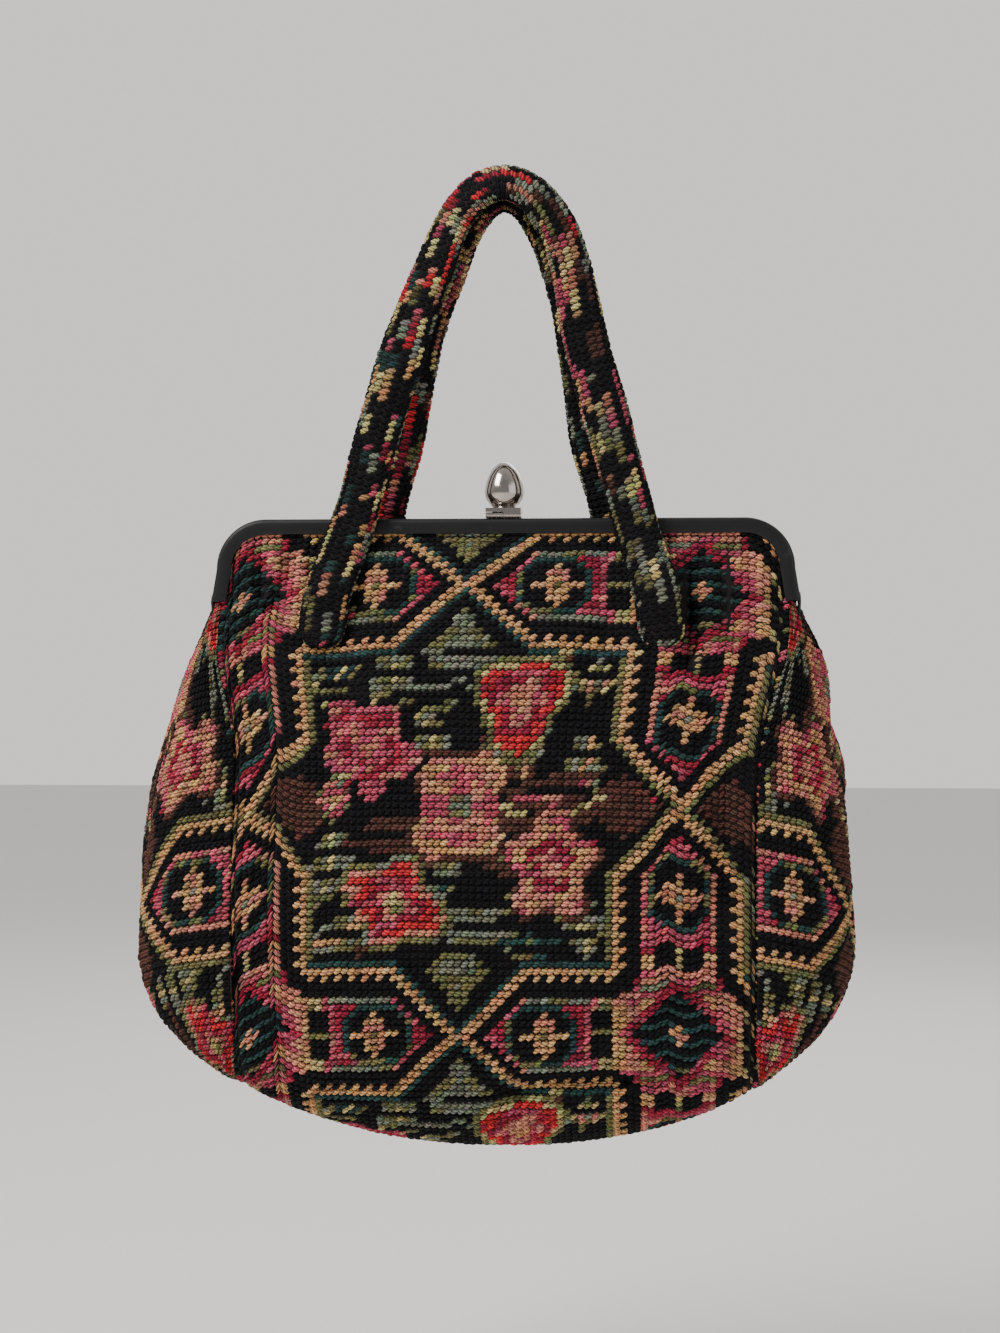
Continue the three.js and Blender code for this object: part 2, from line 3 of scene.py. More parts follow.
import bmesh
import bpy
import numpy as np
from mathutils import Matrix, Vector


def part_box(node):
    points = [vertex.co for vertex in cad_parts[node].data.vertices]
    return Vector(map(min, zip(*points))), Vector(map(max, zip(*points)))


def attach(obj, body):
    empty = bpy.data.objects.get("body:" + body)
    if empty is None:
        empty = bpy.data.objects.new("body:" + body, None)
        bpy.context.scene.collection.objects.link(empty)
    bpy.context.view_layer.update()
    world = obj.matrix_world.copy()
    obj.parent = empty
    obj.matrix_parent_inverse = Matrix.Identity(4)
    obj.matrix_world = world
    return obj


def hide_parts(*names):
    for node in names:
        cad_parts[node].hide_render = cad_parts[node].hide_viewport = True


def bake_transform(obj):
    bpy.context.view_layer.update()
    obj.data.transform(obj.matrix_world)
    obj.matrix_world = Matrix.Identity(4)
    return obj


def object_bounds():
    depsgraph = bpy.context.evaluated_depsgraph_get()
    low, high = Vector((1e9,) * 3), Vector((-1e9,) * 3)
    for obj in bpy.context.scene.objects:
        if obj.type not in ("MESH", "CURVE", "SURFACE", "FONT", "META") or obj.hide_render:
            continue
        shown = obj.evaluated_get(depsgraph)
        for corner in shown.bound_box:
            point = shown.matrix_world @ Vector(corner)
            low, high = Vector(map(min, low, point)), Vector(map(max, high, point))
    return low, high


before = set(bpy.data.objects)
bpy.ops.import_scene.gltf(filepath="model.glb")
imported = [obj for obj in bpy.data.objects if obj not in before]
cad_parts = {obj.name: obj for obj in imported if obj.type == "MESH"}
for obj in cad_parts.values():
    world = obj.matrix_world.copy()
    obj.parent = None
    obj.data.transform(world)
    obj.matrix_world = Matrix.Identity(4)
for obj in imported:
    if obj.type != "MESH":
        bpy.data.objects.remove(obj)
cad_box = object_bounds()
MM = 0.001


# ---------------------------------------------------------------- Studio and camera
# The bag hangs clear of a pale floor, lit softly from the upper left with a weaker fill
# from the right. The camera looks level at it, a little from its right.

CAMERA_DISTANCE = 1.0
CAMERA_TURN = np.radians(4.0)
CAMERA_HEIGHT = -0.213
CAMERA_ASIDE = -0.002
FLOOR_DROP = 0.17
FLOOR_REACH = 6.0


def material(name, colour=(0.8, 0.8, 0.8), roughness=0.8, **sockets):
    """A new material whose Principled shader has the given values."""
    made = bpy.data.materials.new(name)
    made.use_nodes = True
    shader = made.node_tree.nodes["Principled BSDF"]
    shader.inputs["Base Color"].default_value = (*colour, 1)
    shader.inputs["Roughness"].default_value = roughness
    for socket, value in sockets.items():
        shader.inputs[socket.replace("_", " ")].default_value = value
    return made


def mesh_object(name, points, faces, finish, smooth=True):
    """An object from an (n, 3) array of points in metres and an (m, 4) array of corners."""
    mesh = bpy.data.meshes.new(name)
    mesh.vertices.add(len(points))
    mesh.vertices.foreach_set("co", np.asarray(points, dtype=np.float32).ravel())
    faces = np.asarray(faces, dtype=np.int32)
    mesh.loops.add(faces.size)
    mesh.loops.foreach_set("vertex_index", faces.ravel())
    mesh.polygons.add(len(faces))
    mesh.polygons.foreach_set("loop_start", np.arange(len(faces), dtype=np.int32) * faces.shape[1])
    mesh.update(calc_edges=True)
    mesh.validate()
    mesh.polygons.foreach_set("use_smooth", np.full(len(mesh.polygons), smooth))
    mesh.materials.append(finish)
    made = bpy.data.objects.new(name, mesh)
    bpy.context.collection.objects.link(made)
    return made


def area_light(name, place, size, power, tint=(1, 1, 1)):
    """A soft square light that faces the middle of the bag."""
    light = bpy.data.lights.new(name, "AREA")
    light.size = size
    light.energy = power
    light.color = tint
    lamp = bpy.data.objects.new(name, light)
    lamp.location = place
    middle = np.array([0, 0, CAMERA_HEIGHT])
    away = np.array(place) - middle
    lamp.rotation_euler = (np.arccos(away[2] / np.linalg.norm(away)), 0,
                           np.arctan2(away[1], away[0]) + np.pi / 2)
    bpy.context.collection.objects.link(lamp)


floor_z = cad_box[0][2] - FLOOR_DROP
corners = [(x * FLOOR_REACH, y * FLOOR_REACH, floor_z)
           for x, y in ((-1, -1), (1, -1), (1, 1), (-1, 1))]
floor = mesh_object("floor", corners, [(0, 1, 2, 3)],
                    material("floor_paint", (0.78, 0.76, 0.73), 0.9))

area_light("window", (-0.9, -0.9, 0.9), 0.7, 30, (1.0, 0.98, 0.95))
area_light("fill", (1.3, -1.0, 0.1), 1.2, 5, (0.96, 0.98, 1.0))
area_light("behind", (0.3, 1.4, 0.8), 1.2, 12)
world = bpy.data.worlds.new("studio")
world.use_nodes = True
bpy.context.scene.world = world

camera_data = bpy.data.cameras.new("camera")
camera_data.sensor_width = 36
camera_data.lens = 58.5
camera = bpy.data.objects.new("camera", camera_data)
camera.location = (CAMERA_ASIDE + CAMERA_DISTANCE * np.sin(CAMERA_TURN),
                   -CAMERA_DISTANCE * np.cos(CAMERA_TURN), CAMERA_HEIGHT)
camera.rotation_euler = (np.pi / 2, 0, CAMERA_TURN)
bpy.context.collection.objects.link(camera)
bpy.context.scene.camera = camera


# ---------------------------------------------------------------- Black frame
# Two halves of rolled steel channel, bent to a flat-topped arch and enamelled matte black.
# The arms end in lugs that overlap, and one rivet holds each pair.

class Value:
    """A shader value that takes Python's operators and adds a Math node for each."""

    def __init__(self, socket, tree):
        self.socket, self.tree = socket, tree

    def maths(self, operation, *others):
        node = self.tree.nodes.new("ShaderNodeMath")
        node.operation = operation
        for socket, value in zip(node.inputs, (self, *others)):
            connect(self.tree, value, socket)
        return Value(node.outputs[0], self.tree)

    def __add__(self, other): return self.maths("ADD", other)
    def __mul__(self, other): return self.maths("MULTIPLY", other)
    def __sub__(self, other): return self.maths("SUBTRACT", other)
    def __pow__(self, other): return self.maths("POWER", other)
    def __rsub__(self, other): return (self * -1) + other
    __radd__ = __add__
    __rmul__ = __mul__

    def clamp(self):
        return self.maths("MAXIMUM", 0).maths("MINIMUM", 1)


def connect(tree, value, socket):
    """Links a Value into a socket, or sets a plain number or colour on it."""
    if isinstance(value, Value):
        tree.links.new(value.socket, socket)
    else:
        socket.default_value = value


class Shading:
    """The node tree of one material."""

    def __init__(self, finish):
        self.tree = finish.node_tree
        self.shader = self.tree.nodes["Principled BSDF"]

    def node(self, kind, settings=None, output=0, **inputs):
        made = self.tree.nodes.new(kind)
        for name, value in (settings or {}).items():
            setattr(made, name, value)
        for name, value in inputs.items():
            key = int(name[1:]) if name[0] == "i" and name[1:].isdigit() else name.replace("_", " ")
            connect(self.tree, value, made.inputs[key])
        return Value(made.outputs[output], self.tree)

    def place(self):
        return self.node("ShaderNodeTexCoord", output="Object")

    def parts(self, vector):
        """The three parts of a vector."""
        made = self.tree.nodes.new("ShaderNodeSeparateXYZ")
        connect(self.tree, vector, made.inputs[0])
        return [Value(socket, self.tree) for socket in made.outputs]

    def noise(self, scale, detail=3.0, roughness=0.6, vector=None):
        return self.node("ShaderNodeTexNoise", output="Fac", Vector=vector or self.place(),
                         Scale=scale, Detail=detail, Roughness=roughness)

    def mix(self, share, first, second, blend="MIX"):
        return self.node("ShaderNodeMix", {"data_type": "RGBA", "blend_type": blend}, output=2,
                         i0=share, i6=first, i7=second)

    def bump(self, height, strength, distance):
        normal = self.node("ShaderNodeBump", Height=height, Strength=strength, Distance=distance)
        connect(self.tree, normal, self.shader.inputs["Normal"])

    def set(self, socket, value):
        connect(self.tree, value, self.shader.inputs[socket])

    def colour(self, share, first, second):
        """The base colour, as a mix of two."""
        self.set("Base Color", self.mix(share, first, second))


def studio_light():
    """The room's light: pale behind the bag and overhead, dimmer from the camera's side."""
    tree = world.node_tree
    coordinates = tree.nodes.new("ShaderNodeTexCoord")
    parts = tree.nodes.new("ShaderNodeSeparateXYZ")
    shades = tree.nodes.new("ShaderNodeMix")
    shades.data_type = "RGBA"
    tree.links.new(coordinates.outputs["Generated"], parts.inputs[0])
    back = Value(parts.outputs[1], tree) * 0.8 + Value(parts.outputs[2], tree) * 0.35 + 0.45
    connect(tree, back.clamp(), shades.inputs[0])
    shades.inputs[6].default_value = (0.36, 0.355, 0.35, 1)
    shades.inputs[7].default_value = (0.96, 0.94, 0.915, 1)
    tree.links.new(shades.outputs[2], tree.nodes["Background"].inputs["Color"])


studio_light()


def enamel():
    """Matte black enamel: fine orange peel, faint scuffs and grey wear in patches."""
    made = material("black_enamel", (0.012, 0.012, 0.013), 0.5, Specular_IOR_Level=0.3)
    shade = Shading(made)
    fine, patches = (shade.noise(95, 5, 0.7) - 0.60) * 9, (shade.noise(14) - 0.46) * 5
    wear = fine.clamp() * patches.clamp() * 0.55
    shade.colour(wear, (0.006, 0.006, 0.007, 1), (0.10, 0.095, 0.09, 1))
    shade.set("Roughness", shade.noise(40, 4) * 0.22 + 0.36)
    shade.bump(shade.noise(900, 2) * 0.6 + shade.noise(60, 3) * 0.4, 0.25, 0.0003)
    return made


black_enamel = enamel()

HANG_DROP = 145 * MM
TOP = -HANG_DROP
CORNER_HALF = 133 * MM
ARM_HALF = 135.5 * MM
CORNER_R = 23 * MM
BAND = 7 * MM
ARM_END = TOP - 38 * MM
PIVOT_Z = TOP - 45 * MM
HALF_DEPTH = 8 * MM
HALF_GAP = 0.3 * MM
LUG_R = 5 * MM
LUG_THICK = 1.2 * MM
LUG_STEP = 1.5 * MM
LUG_POINTS = 48


def arch_line(inset, end, corner_steps=24):
    """The frame's arch in X and Z, inset from its outer edge: up the left arm, round a
    quarter circle, across, and down the right arm, which splays outwards. Also the outward
    direction at each point."""
    radius = CORNER_R - inset
    centre_x, centre_z = CORNER_HALF - CORNER_R, TOP - CORNER_R
    turn = np.linspace(0, np.pi / 2, corner_steps)
    corner = np.stack([centre_x + radius * np.cos(turn), centre_z + radius * np.sin(turn)], 1)
    corner_out = np.stack([np.cos(turn), np.sin(turn)], 1)
    down = np.linspace(1, 0, 7)[:-1, None]
    foot = np.array([ARM_HALF - inset, end])
    arm = corner[0] + (foot - corner[0]) * down
    right = np.concatenate([arm, corner])
    right_out = np.concatenate([np.tile([1.0, 0.0], (len(arm), 1)), corner_out])
    flat = np.linspace(1, -1, 26)[1:-1, None] * [centre_x, 0] + [0, TOP - inset]
    line = np.concatenate([right, flat, right[::-1] * [-1, 1]])
    flat_out = np.tile([0.0, 1.0], (len(flat), 1))
    out = np.concatenate([right_out, flat_out, right_out[::-1] * [-1, 1]])
    return line, out


def grid_faces(rows, columns, wrap_rows=False, wrap_columns=False):
    """The corners of every cell of a grid of points, numbered row by row."""
    row_ends = rows if wrap_rows else rows - 1
    column_ends = columns if wrap_columns else columns - 1
    r, c = np.meshgrid(np.arange(row_ends), np.arange(column_ends), indexing="ij")
    r1, c1 = (r + 1) % rows, (c + 1) % columns
    return np.stack([r * columns + c, r * columns + c1, r1 * columns + c1, r1 * columns + c],
                    -1).reshape(-1, 4)


def recalculate(piece):
    """Turns every face outwards on a closed mesh."""
    work = bmesh.new()
    work.from_mesh(piece.data)
    bmesh.ops.remove_doubles(work, verts=work.verts, dist=1e-6)
    bmesh.ops.recalc_face_normals(work, faces=work.faces)
    work.to_mesh(piece.data)
    work.free()


def channel_profile():
    """The section of the channel as (inset, across) pairs, across from 0 to the half's
    depth: a squared U, 1 mm thick, with its two outer edges rolled to a 2 mm radius."""
    roll, wall, lip = 2.0 * MM, 1.0 * MM, 0.5 * MM
    turn = np.linspace(0, np.pi / 2, 6)
    near = np.stack([roll - roll * np.sin(turn), roll - roll * np.cos(turn)], 1)
    far = near[::-1] * [1, -1] + [0, HALF_DEPTH]
    outer = np.concatenate([[[BAND, lip * 0.4]], [[BAND - lip, 0]], near, far,
                            [[BAND - lip, HALF_DEPTH]], [[BAND, HALF_DEPTH - lip * 0.4]]])
    inner = np.array([[BAND, HALF_DEPTH - wall], [wall * 1.3, HALF_DEPTH - wall],
                      [wall * 1.3, wall], [BAND, wall]])
    return np.concatenate([outer, inner])


def lug_mesh(side, layer):
    """A flat lug under each arm: a disc round the rivet whose upper quarter on the arm's side
    is drawn up into a neck. Each is a fan of rings from the disc's middle, closed at both
    faces."""
    turn = np.linspace(0, 2 * np.pi, LUG_POINTS + 1)[:-1]
    ring = np.stack([LUG_R * np.cos(turn), LUG_R * np.sin(turn)], 1)
    neck = (ring[:, 1] > -0.5 * MM) & (side * ring[:, 0] > 1.0 * MM)
    ring[neck] = ring[neck] * [1.55, 1] + [0, 6.5 * MM]
    shapes = []
    for hand in (-1, 1):
        inner = layer if hand > 0 else -layer
        outer = inner + hand * LUG_THICK
        rings = [np.column_stack([np.full(LUG_POINTS, x), ring[:, 0] * s, PIVOT_Z + ring[:, 1] * s])
                 for x, s in ((inner, 0.0), (inner, 0.97), (inner + hand * 0.1 * MM, 1.0),
                              (outer - hand * 0.1 * MM, 1.0), (outer, 0.97), (outer, 0.0))]
        shapes.append(np.stack(rings))
    return shapes


def frame_rail(name, side, node, body, layer):
    """The channel's section swept along the arch, with a lug under each arm."""
    profile = channel_profile()
    line, out = arch_line(0, ARM_END)
    rows = []
    for inset, across in profile:
        flat = line - out * inset
        y = np.full(len(line), side * (HALF_GAP + across))
        rows.append(np.column_stack([flat[:, 0], y, flat[:, 1]]))
    sweep = np.stack(rows)
    points = [sweep.reshape(-1, 3)]
    faces = [grid_faces(len(profile), len(line), wrap_rows=True)]
    count = len(points[0])
    ends = np.arange(len(profile)) * len(line)
    half = len(profile) // 2
    pairs = np.stack([ends[:half - 1], ends[1:half], ends[::-1][1:half], ends[::-1][:half - 1]], 1)
    faces += [pairs, pairs[:, ::-1] + len(line) - 1]
    for shape in lug_mesh(side, layer):
        points.append(shape.reshape(-1, 3))
        faces.append(grid_faces(*shape.shape[:2], wrap_columns=True) + count)
        count += len(points[-1])
    rail = mesh_object(name, np.concatenate(points), np.concatenate(faces), black_enamel)
    recalculate(rail)
    rail.data.set_sharp_from_angle(angle=np.radians(40))
    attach(rail, body)
    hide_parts(node)


LUG_OUTER = ARM_HALF - LUG_THICK
frame_rail("front_frame_rail", -1, "front_frame", "front_half", LUG_OUTER)
frame_rail("rear_frame_rail", 1, "rear_frame", "rear_half", LUG_OUTER - LUG_STEP)


def nickel_plate():
    """Bright nickel with a warm cast, faint haze and hairline scratches."""
    made = material("polished_nickel", (0.74, 0.71, 0.67), 0.14, Metallic=1.0)
    shade = Shading(made)
    shade.colour(shade.noise(70, 4), (0.50, 0.46, 0.43, 1), (0.33, 0.29, 0.26, 1))
    shade.set("Roughness", shade.noise(160, 5, 0.7) * 0.16 + 0.05)
    shade.bump(shade.noise(420, 4), 0.06, 0.0003)
    return made


def tarnished_nickel():
    """Nickel gone nearly black, with a little grey metal showing through in patches."""
    made = material("tarnished_nickel", (0.05, 0.047, 0.044), 0.45, Metallic=1.0)
    shade = Shading(made)
    worn = ((shade.noise(700, 4) - 0.55) * 6).clamp() * 0.6
    shade.colour(worn, (0.035, 0.033, 0.032, 1), (0.22, 0.20, 0.18, 1))
    shade.set("Roughness", shade.noise(400, 3) * 0.25 + 0.35)
    shade.bump(shade.noise(1500, 2), 0.1, 0.0002)
    return made


nickel, dark_nickel = nickel_plate(), tarnished_nickel()


def turned(name, profile, finish, steps=48):
    """A profile of (radius, height) pairs turned about Z, closed on its axis."""
    profile = np.asarray(profile)
    turn = np.linspace(0, 2 * np.pi, steps + 1)[:-1]
    radius, height = profile[:, :1], np.tile(profile[:, 1:], (1, steps))
    points = np.stack([radius * np.cos(turn), radius * np.sin(turn), height], -1)
    faces = grid_faces(len(profile), steps, wrap_columns=True)
    return mesh_object(name, points.reshape(-1, 3), faces, finish)


HEAD_R = 3.4 * MM
HEAD_TALL = 1.5 * MM
TAIL_R = 2.6 * MM
SHANK_R = 1.6 * MM
HEAD_FOOT = 0.3 * MM        # how far off the arm's face the head starts
TAIL_NEAR = -3.0 * MM
TAIL_FAR = -4.2 * MM


def rivet_head(name, node, hand):
    """A domed head outside and a small one inside, on the hinge's axis."""
    height = np.linspace(0, 1, 9)
    dome = [(HEAD_R * np.sqrt(1 - h * h * 0.999), HEAD_FOOT + HEAD_TALL * h) for h in height]
    profile = [(0, TAIL_FAR), (TAIL_R, TAIL_FAR), (TAIL_R, TAIL_NEAR), (SHANK_R, TAIL_NEAR),
               (SHANK_R, HEAD_FOOT), *dome, (0, HEAD_FOOT + HEAD_TALL)]
    made = turned(name, profile, dark_nickel, 32)
    points = np.empty(len(made.data.vertices) * 3, dtype=np.float32)
    made.data.vertices.foreach_get("co", points)
    x, y, z = points.reshape(-1, 3).T
    moved = np.stack([hand * (ARM_HALF + z), y, x + PIVOT_Z], 1)
    made.data.vertices.foreach_set("co", moved.ravel())
    recalculate(made)
    made.data.set_sharp_from_angle(angle=np.radians(40))
    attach(made, "pouch")
    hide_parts(node)


rivet_head("left_hinge_rivet_head", "left_hinge_rivet", -1)
rivet_head("right_hinge_rivet_head", "right_hinge_rivet", 1)


def twisted_paper():
    """Buff twisted paper: slanted turns of the cord as relief, with painted shade in the grooves
    between the turns and paler tops.
    """
    made = material("paper_cord", (0.42, 0.33, 0.22), 0.85)
    shade = Shading(made)
    x, _, z = shade.parts(shade.place())
    turns = ((x + z) * 2400).maths("SINE") * 0.5 + 0.5
    # painted shade: the colour follows the turns, dark in their grooves and pale on their crests
    shade.colour(turns * 0.6 + shade.noise(120, 4) * 0.4,
                 (0.26, 0.19, 0.12, 1), (0.50, 0.40, 0.27, 1))
    shade.bump(turns * 0.7 + shade.noise(900, 3) * 0.3, 0.6, 0.0005)
    return made


def finish_nodes(finish, *names):
    """Gives one finish to parts that are shown as they come from the frame."""
    for name in names:
        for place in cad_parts[name].material_slots:
            place.material = finish


finish_nodes(twisted_paper(), "front_channel_cord", "rear_channel_cord")


# ---------------------------------------------------------------- Acorn clasp
# A small nickel-plated lever on a barrel hinge, with a turned acorn knob screwed on top. It
# lifts forward off a rib on the rear half.

knob_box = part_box("acorn_knob")
KNOB_BASE = knob_box[0][2]
KNOB_TALL = knob_box[1][2] - KNOB_BASE
KNOB_R = (knob_box[1][0] - knob_box[0][0]) / 2
PLUMPER = 1.1
TALLER = 1.06


def acorn():
    """The acorn's outline: fourteen shares of its radius and height from foot to tip, read
    off along straight lines between them and then smoothed three times. It is a little
    plumper and taller than the plain knob that it stands for."""
    share_r = np.array([0.0, 0.58, 0.60, 0.66, 0.80, 0.95, 1.02,
                        1.0, 0.92, 0.79, 0.64, 0.45, 0.24, 0.0])
    share_h = np.array([0.0, 0.0, 0.02, 0.05, 0.11, 0.21, 0.32,
                        0.43, 0.58, 0.72, 0.83, 0.92, 0.985, 1.0])
    place = np.arange(len(share_r))
    fine = np.linspace(1, len(share_r) - 1, 70)
    radius = np.interp(fine, place, share_r)
    height = np.interp(fine, place, share_h)
    for _ in range(3):
        radius[1:-1] = (radius[:-2] + 2 * radius[1:-1] + radius[2:]) / 4
        height[1:-1] = (height[:-2] + 2 * height[1:-1] + height[2:]) / 4
    radius, height = np.append(0, radius), np.append(0, height)
    return np.stack([radius * KNOB_R * PLUMPER, KNOB_BASE + height * KNOB_TALL * TALLER], 1)


knob = turned("acorn_knob_body", acorn(), nickel, 64)
recalculate(knob)
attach(knob, "clasp")
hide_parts("acorn_knob")

finish_nodes(nickel, "clasp_base", "clasp_pin", "clasp_lever", "catch_plate", "knob_screw",
             "clasp_base_rivet_left", "clasp_base_rivet_right",
             "catch_rivet_left", "catch_rivet_right")


# ---------------------------------------------------------------- Tapestry pouch
# Four panels of wool tapestry: a front and a rear that run round the bottom to a seam, and
# two side gussets. Each is worked in plump slanted stitches on a canvas coloured near black,
# as painted shade in the gaps between the stitches.

STITCH = 3.3 * MM           # from row to row
STITCH_WIDE = 3.12 * MM     # from column to column
BELLY_Z = TOP - 185 * MM
WIDEST_Z = TOP - 195 * MM
BOTTOM = TOP - 287 * MM
HALF_WIDTH = 163 * MM
FRONT_BULGE = 53 * MM
REAR_BULGE = 55 * MM
REAR_FLAT = 41.5 * MM
CLOTH_Y = 6.0 * MM
ROUND = 2.8
TUCK = 1.5 * MM             # how far the cloth goes up into the channel
CLOTH_TOP = TOP - BAND + TUCK
LOOSE_TOP = -193 * MM       # where the cloth is free of the frame's arms
RIM_FOOT = -211 * MM        # where the frame's edge stops drawing it in
FLAT_EASE = 6 * MM          # how gently the rear rounds over into its flat
SEAM_HALF = 119             # the side seams at the belly, and how much further out they
SEAM_FLARE = 11.5           # run above, in mm
SEAM_PULL = 4.5             # how wide the dip along a seam is, in mm
SIDES = ((-1, "front"), (1, "rear"))
GUSSET_HALVES = [(hand, word, *half) for hand, word in ((-1, "left"), (1, "right"))
                 for half in SIDES]


def ease(share):
    """0 below 0, 1 above 1, and the smooth cubic between."""
    share = np.clip(share, 0, 1)
    return share * share * (3 - 2 * share)


def half_width(z):
    """Half the pouch's width at a level: a parabola above the widest, an ellipse below."""
    fall = np.clip((WIDEST_Z - z) / (WIDEST_Z - BOTTOM), 0, 1)
    rise = np.clip((z - WIDEST_Z) / (TOP - WIDEST_Z), 0, None)
    return HALF_WIDTH * np.sqrt(1 - fall ** 2) - (HALF_WIDTH - CORNER_HALF + BAND * 0.4) * rise ** 2


def side_reach(z):
    """How far the gussets reach: the same, drawn in more sharply towards the hinges."""
    rise = np.clip((z - WIDEST_Z) / (TOP - WIDEST_Z), 0, None)
    return np.where(z < WIDEST_Z, half_width(z), HALF_WIDTH - 44 * MM * rise ** 2)


def bottom_under(x):
    """The level of the bottom seam under a place across the bag."""
    return WIDEST_Z - (WIDEST_Z - BOTTOM) * np.sqrt(1 - np.clip(np.abs(x) / HALF_WIDTH, 0, 1) ** 2)


def inside_rim(x, z):
    """How far a place lies inside the frame's inner edge, growing below the arms."""
    radius = CORNER_R - BAND
    across = np.abs(x) - (CORNER_HALF - CORNER_R)
    up = z - (TOP - CORNER_R)
    corner = radius - np.hypot(across, up)
    straight = radius - np.maximum(across, up)
    inside = np.where((across > 0) & (up > 0), corner, straight)
    return inside + 1.4 * np.clip(ARM_END - z, 0, None)


def cloth_depth(side, x, z):
    """How far the cloth stands from the middle plane: a quarter sine from the frame to the
    belly, an ellipse below it, and a rounded-off power curve across."""
    bulge = FRONT_BULGE if side < 0 else REAR_BULGE
    fall = np.clip((BELLY_Z - z) / (BELLY_Z - BOTTOM), 0, 1)
    rim_z = TOP - BAND
    down = np.clip((rim_z - z) / (rim_z - BELLY_Z), 0, 1)
    upper = CLOTH_Y + (bulge - CLOTH_Y) * np.sin(np.pi / 2 * down ** 0.72)
    middle = np.where(z < BELLY_Z, bulge * np.sqrt(1 - fall ** 2), upper)
    loose = ease((LOOSE_TOP - z) / (18 * MM))
    base = CLOTH_Y * (1 - loose)
    power = 1 + (1 / ROUND - 1) * loose
    out = np.clip(np.abs(x) / np.maximum(half_width(z), 1e-5), 0, 1)
    rim = np.where(z > RIM_FOOT, ease((inside_rim(x, z) + 1 * MM) / (13 * MM)), 1)
    depth = base + (middle - base) * (1 - out ** ROUND) ** power * rim
    if side > 0:
        left = np.clip(REAR_FLAT + FLAT_EASE - depth, 0, None)
        rounded = REAR_FLAT - left ** 2 / (4 * FLAT_EASE)
        depth = np.where(depth < REAR_FLAT - FLAT_EASE, depth, rounded)
    return depth


def seam_x(z):
    """How far out the side seams run: close to the arms above, drawn in at the belly."""
    return (SEAM_HALF + SEAM_FLARE * ease((z + 262 * MM) / (70 * MM))) * MM


def lean(z):
    """How far the hanging pouch has swung to the left, growing downwards."""
    return 3.0 * MM * ease((TOP - z) / (190 * MM))


def soft_bumps(x, z, seed):
    """Slow unevenness of stuffed cloth: six long waves with seeded directions and phases."""
    draw = np.random.default_rng(seed)
    total = np.zeros_like(x)
    for _ in range(6):
        angle, phase = draw.uniform(0, 2 * np.pi, 2)
        length = draw.uniform(45, 110) * MM
        total += np.sin(2 * np.pi * (x * np.cos(angle) + z * np.sin(angle)) / length + phase)
    return total / 6


def groove(x, z, ends, width, curve=0.0):
    """A soft groove along a line between two places, fading at both ends: a bell across it,
    bowed sideways by a half sine."""
    x0, z0, x1, z1 = np.asarray(ends) * MM
    length = np.hypot(x1 - x0, z1 - z0)
    along = ((x - x0) * (x1 - x0) + (z - z0) * (z1 - z0)) / length ** 2
    across = ((x - x0) * (z1 - z0) - (z - z0) * (x1 - x0)) / length
    across = across - curve * MM * np.sin(np.pi * np.clip(along, 0, 1))
    fade = ease(along / 0.25) * ease((1 - along) / 0.25)
    return np.exp(-(across / (width * MM)) ** 2) * fade


FRONT_FOLDS = [
    # the two ends, half width, bow and depth, in mm
    ((-116, -160, -92, -190), 5, 6, 8.0),
    ((-98, -154, -110, -188), 4, -5, 6.0),
    ((-84, -156, -86, -180), 4, 2, 3.0),
    ((-119, -200, -112, -262), 8, -3, 4.0),
    ((86, -154, 88, -222), 5, 3, 12.0),
    ((99, -152, 103, -208), 4, -2, 7.0),
    ((112, -154, 115, -204), 4, 2, 6.0),
    ((94, -205, 97, -345), 9, -7, 6.5),
    ((-72, -172, -66, -236), 9, 4, 4.5),
    ((58, -176, 48, -250), 10, 5, 4.0),
    ((10, -158, 4, -196), 9, 3, 2.5),
    ((-10, -408, 82, -398), 5, -5, 7.0),
    ((-122, -330, -78, -402), 9, 6, 5.0),
    ((30, -380, 116, -360), 9, -4, 4.5),
    ((-60, -372, 10, -392), 10, 4, 3.0),
    ((62, -300, 106, -330), 8, -4, 3.5),
]
REAR_FOLDS = [
    ((-104, -154, -100, -214), 5, 3, 9.0),
    ((102, -154, 96, -218), 5, -4, 8.0),
    ((-60, -178, -50, -246), 9, 4, 4.0),
    ((30, -172, 36, -232), 9, -4, 3.5),
    ((40, -402, 112, -380), 5, -5, 6.0),
    ((-112, -372, -50, -400), 7, 4, 5.0),
]


def gathers(x, z):
    """Small upright puckers where the cloth is pressed into the frame."""
    drop = TOP - BAND - z
    corner = ease((np.abs(x) - 62 * MM) / (40 * MM))
    wave = np.sin(x / (2.9 * MM) + 2.2 * np.sin(x / (17 * MM)))
    wave = wave * (0.6 + 0.4 * np.sin(x / (31 * MM)))
    fade = 1 - ease(drop / ((34 + 14 * corner) * MM))
    return wave * (1 + 0.9 * corner) * ease(drop / (6 * MM)) * fade


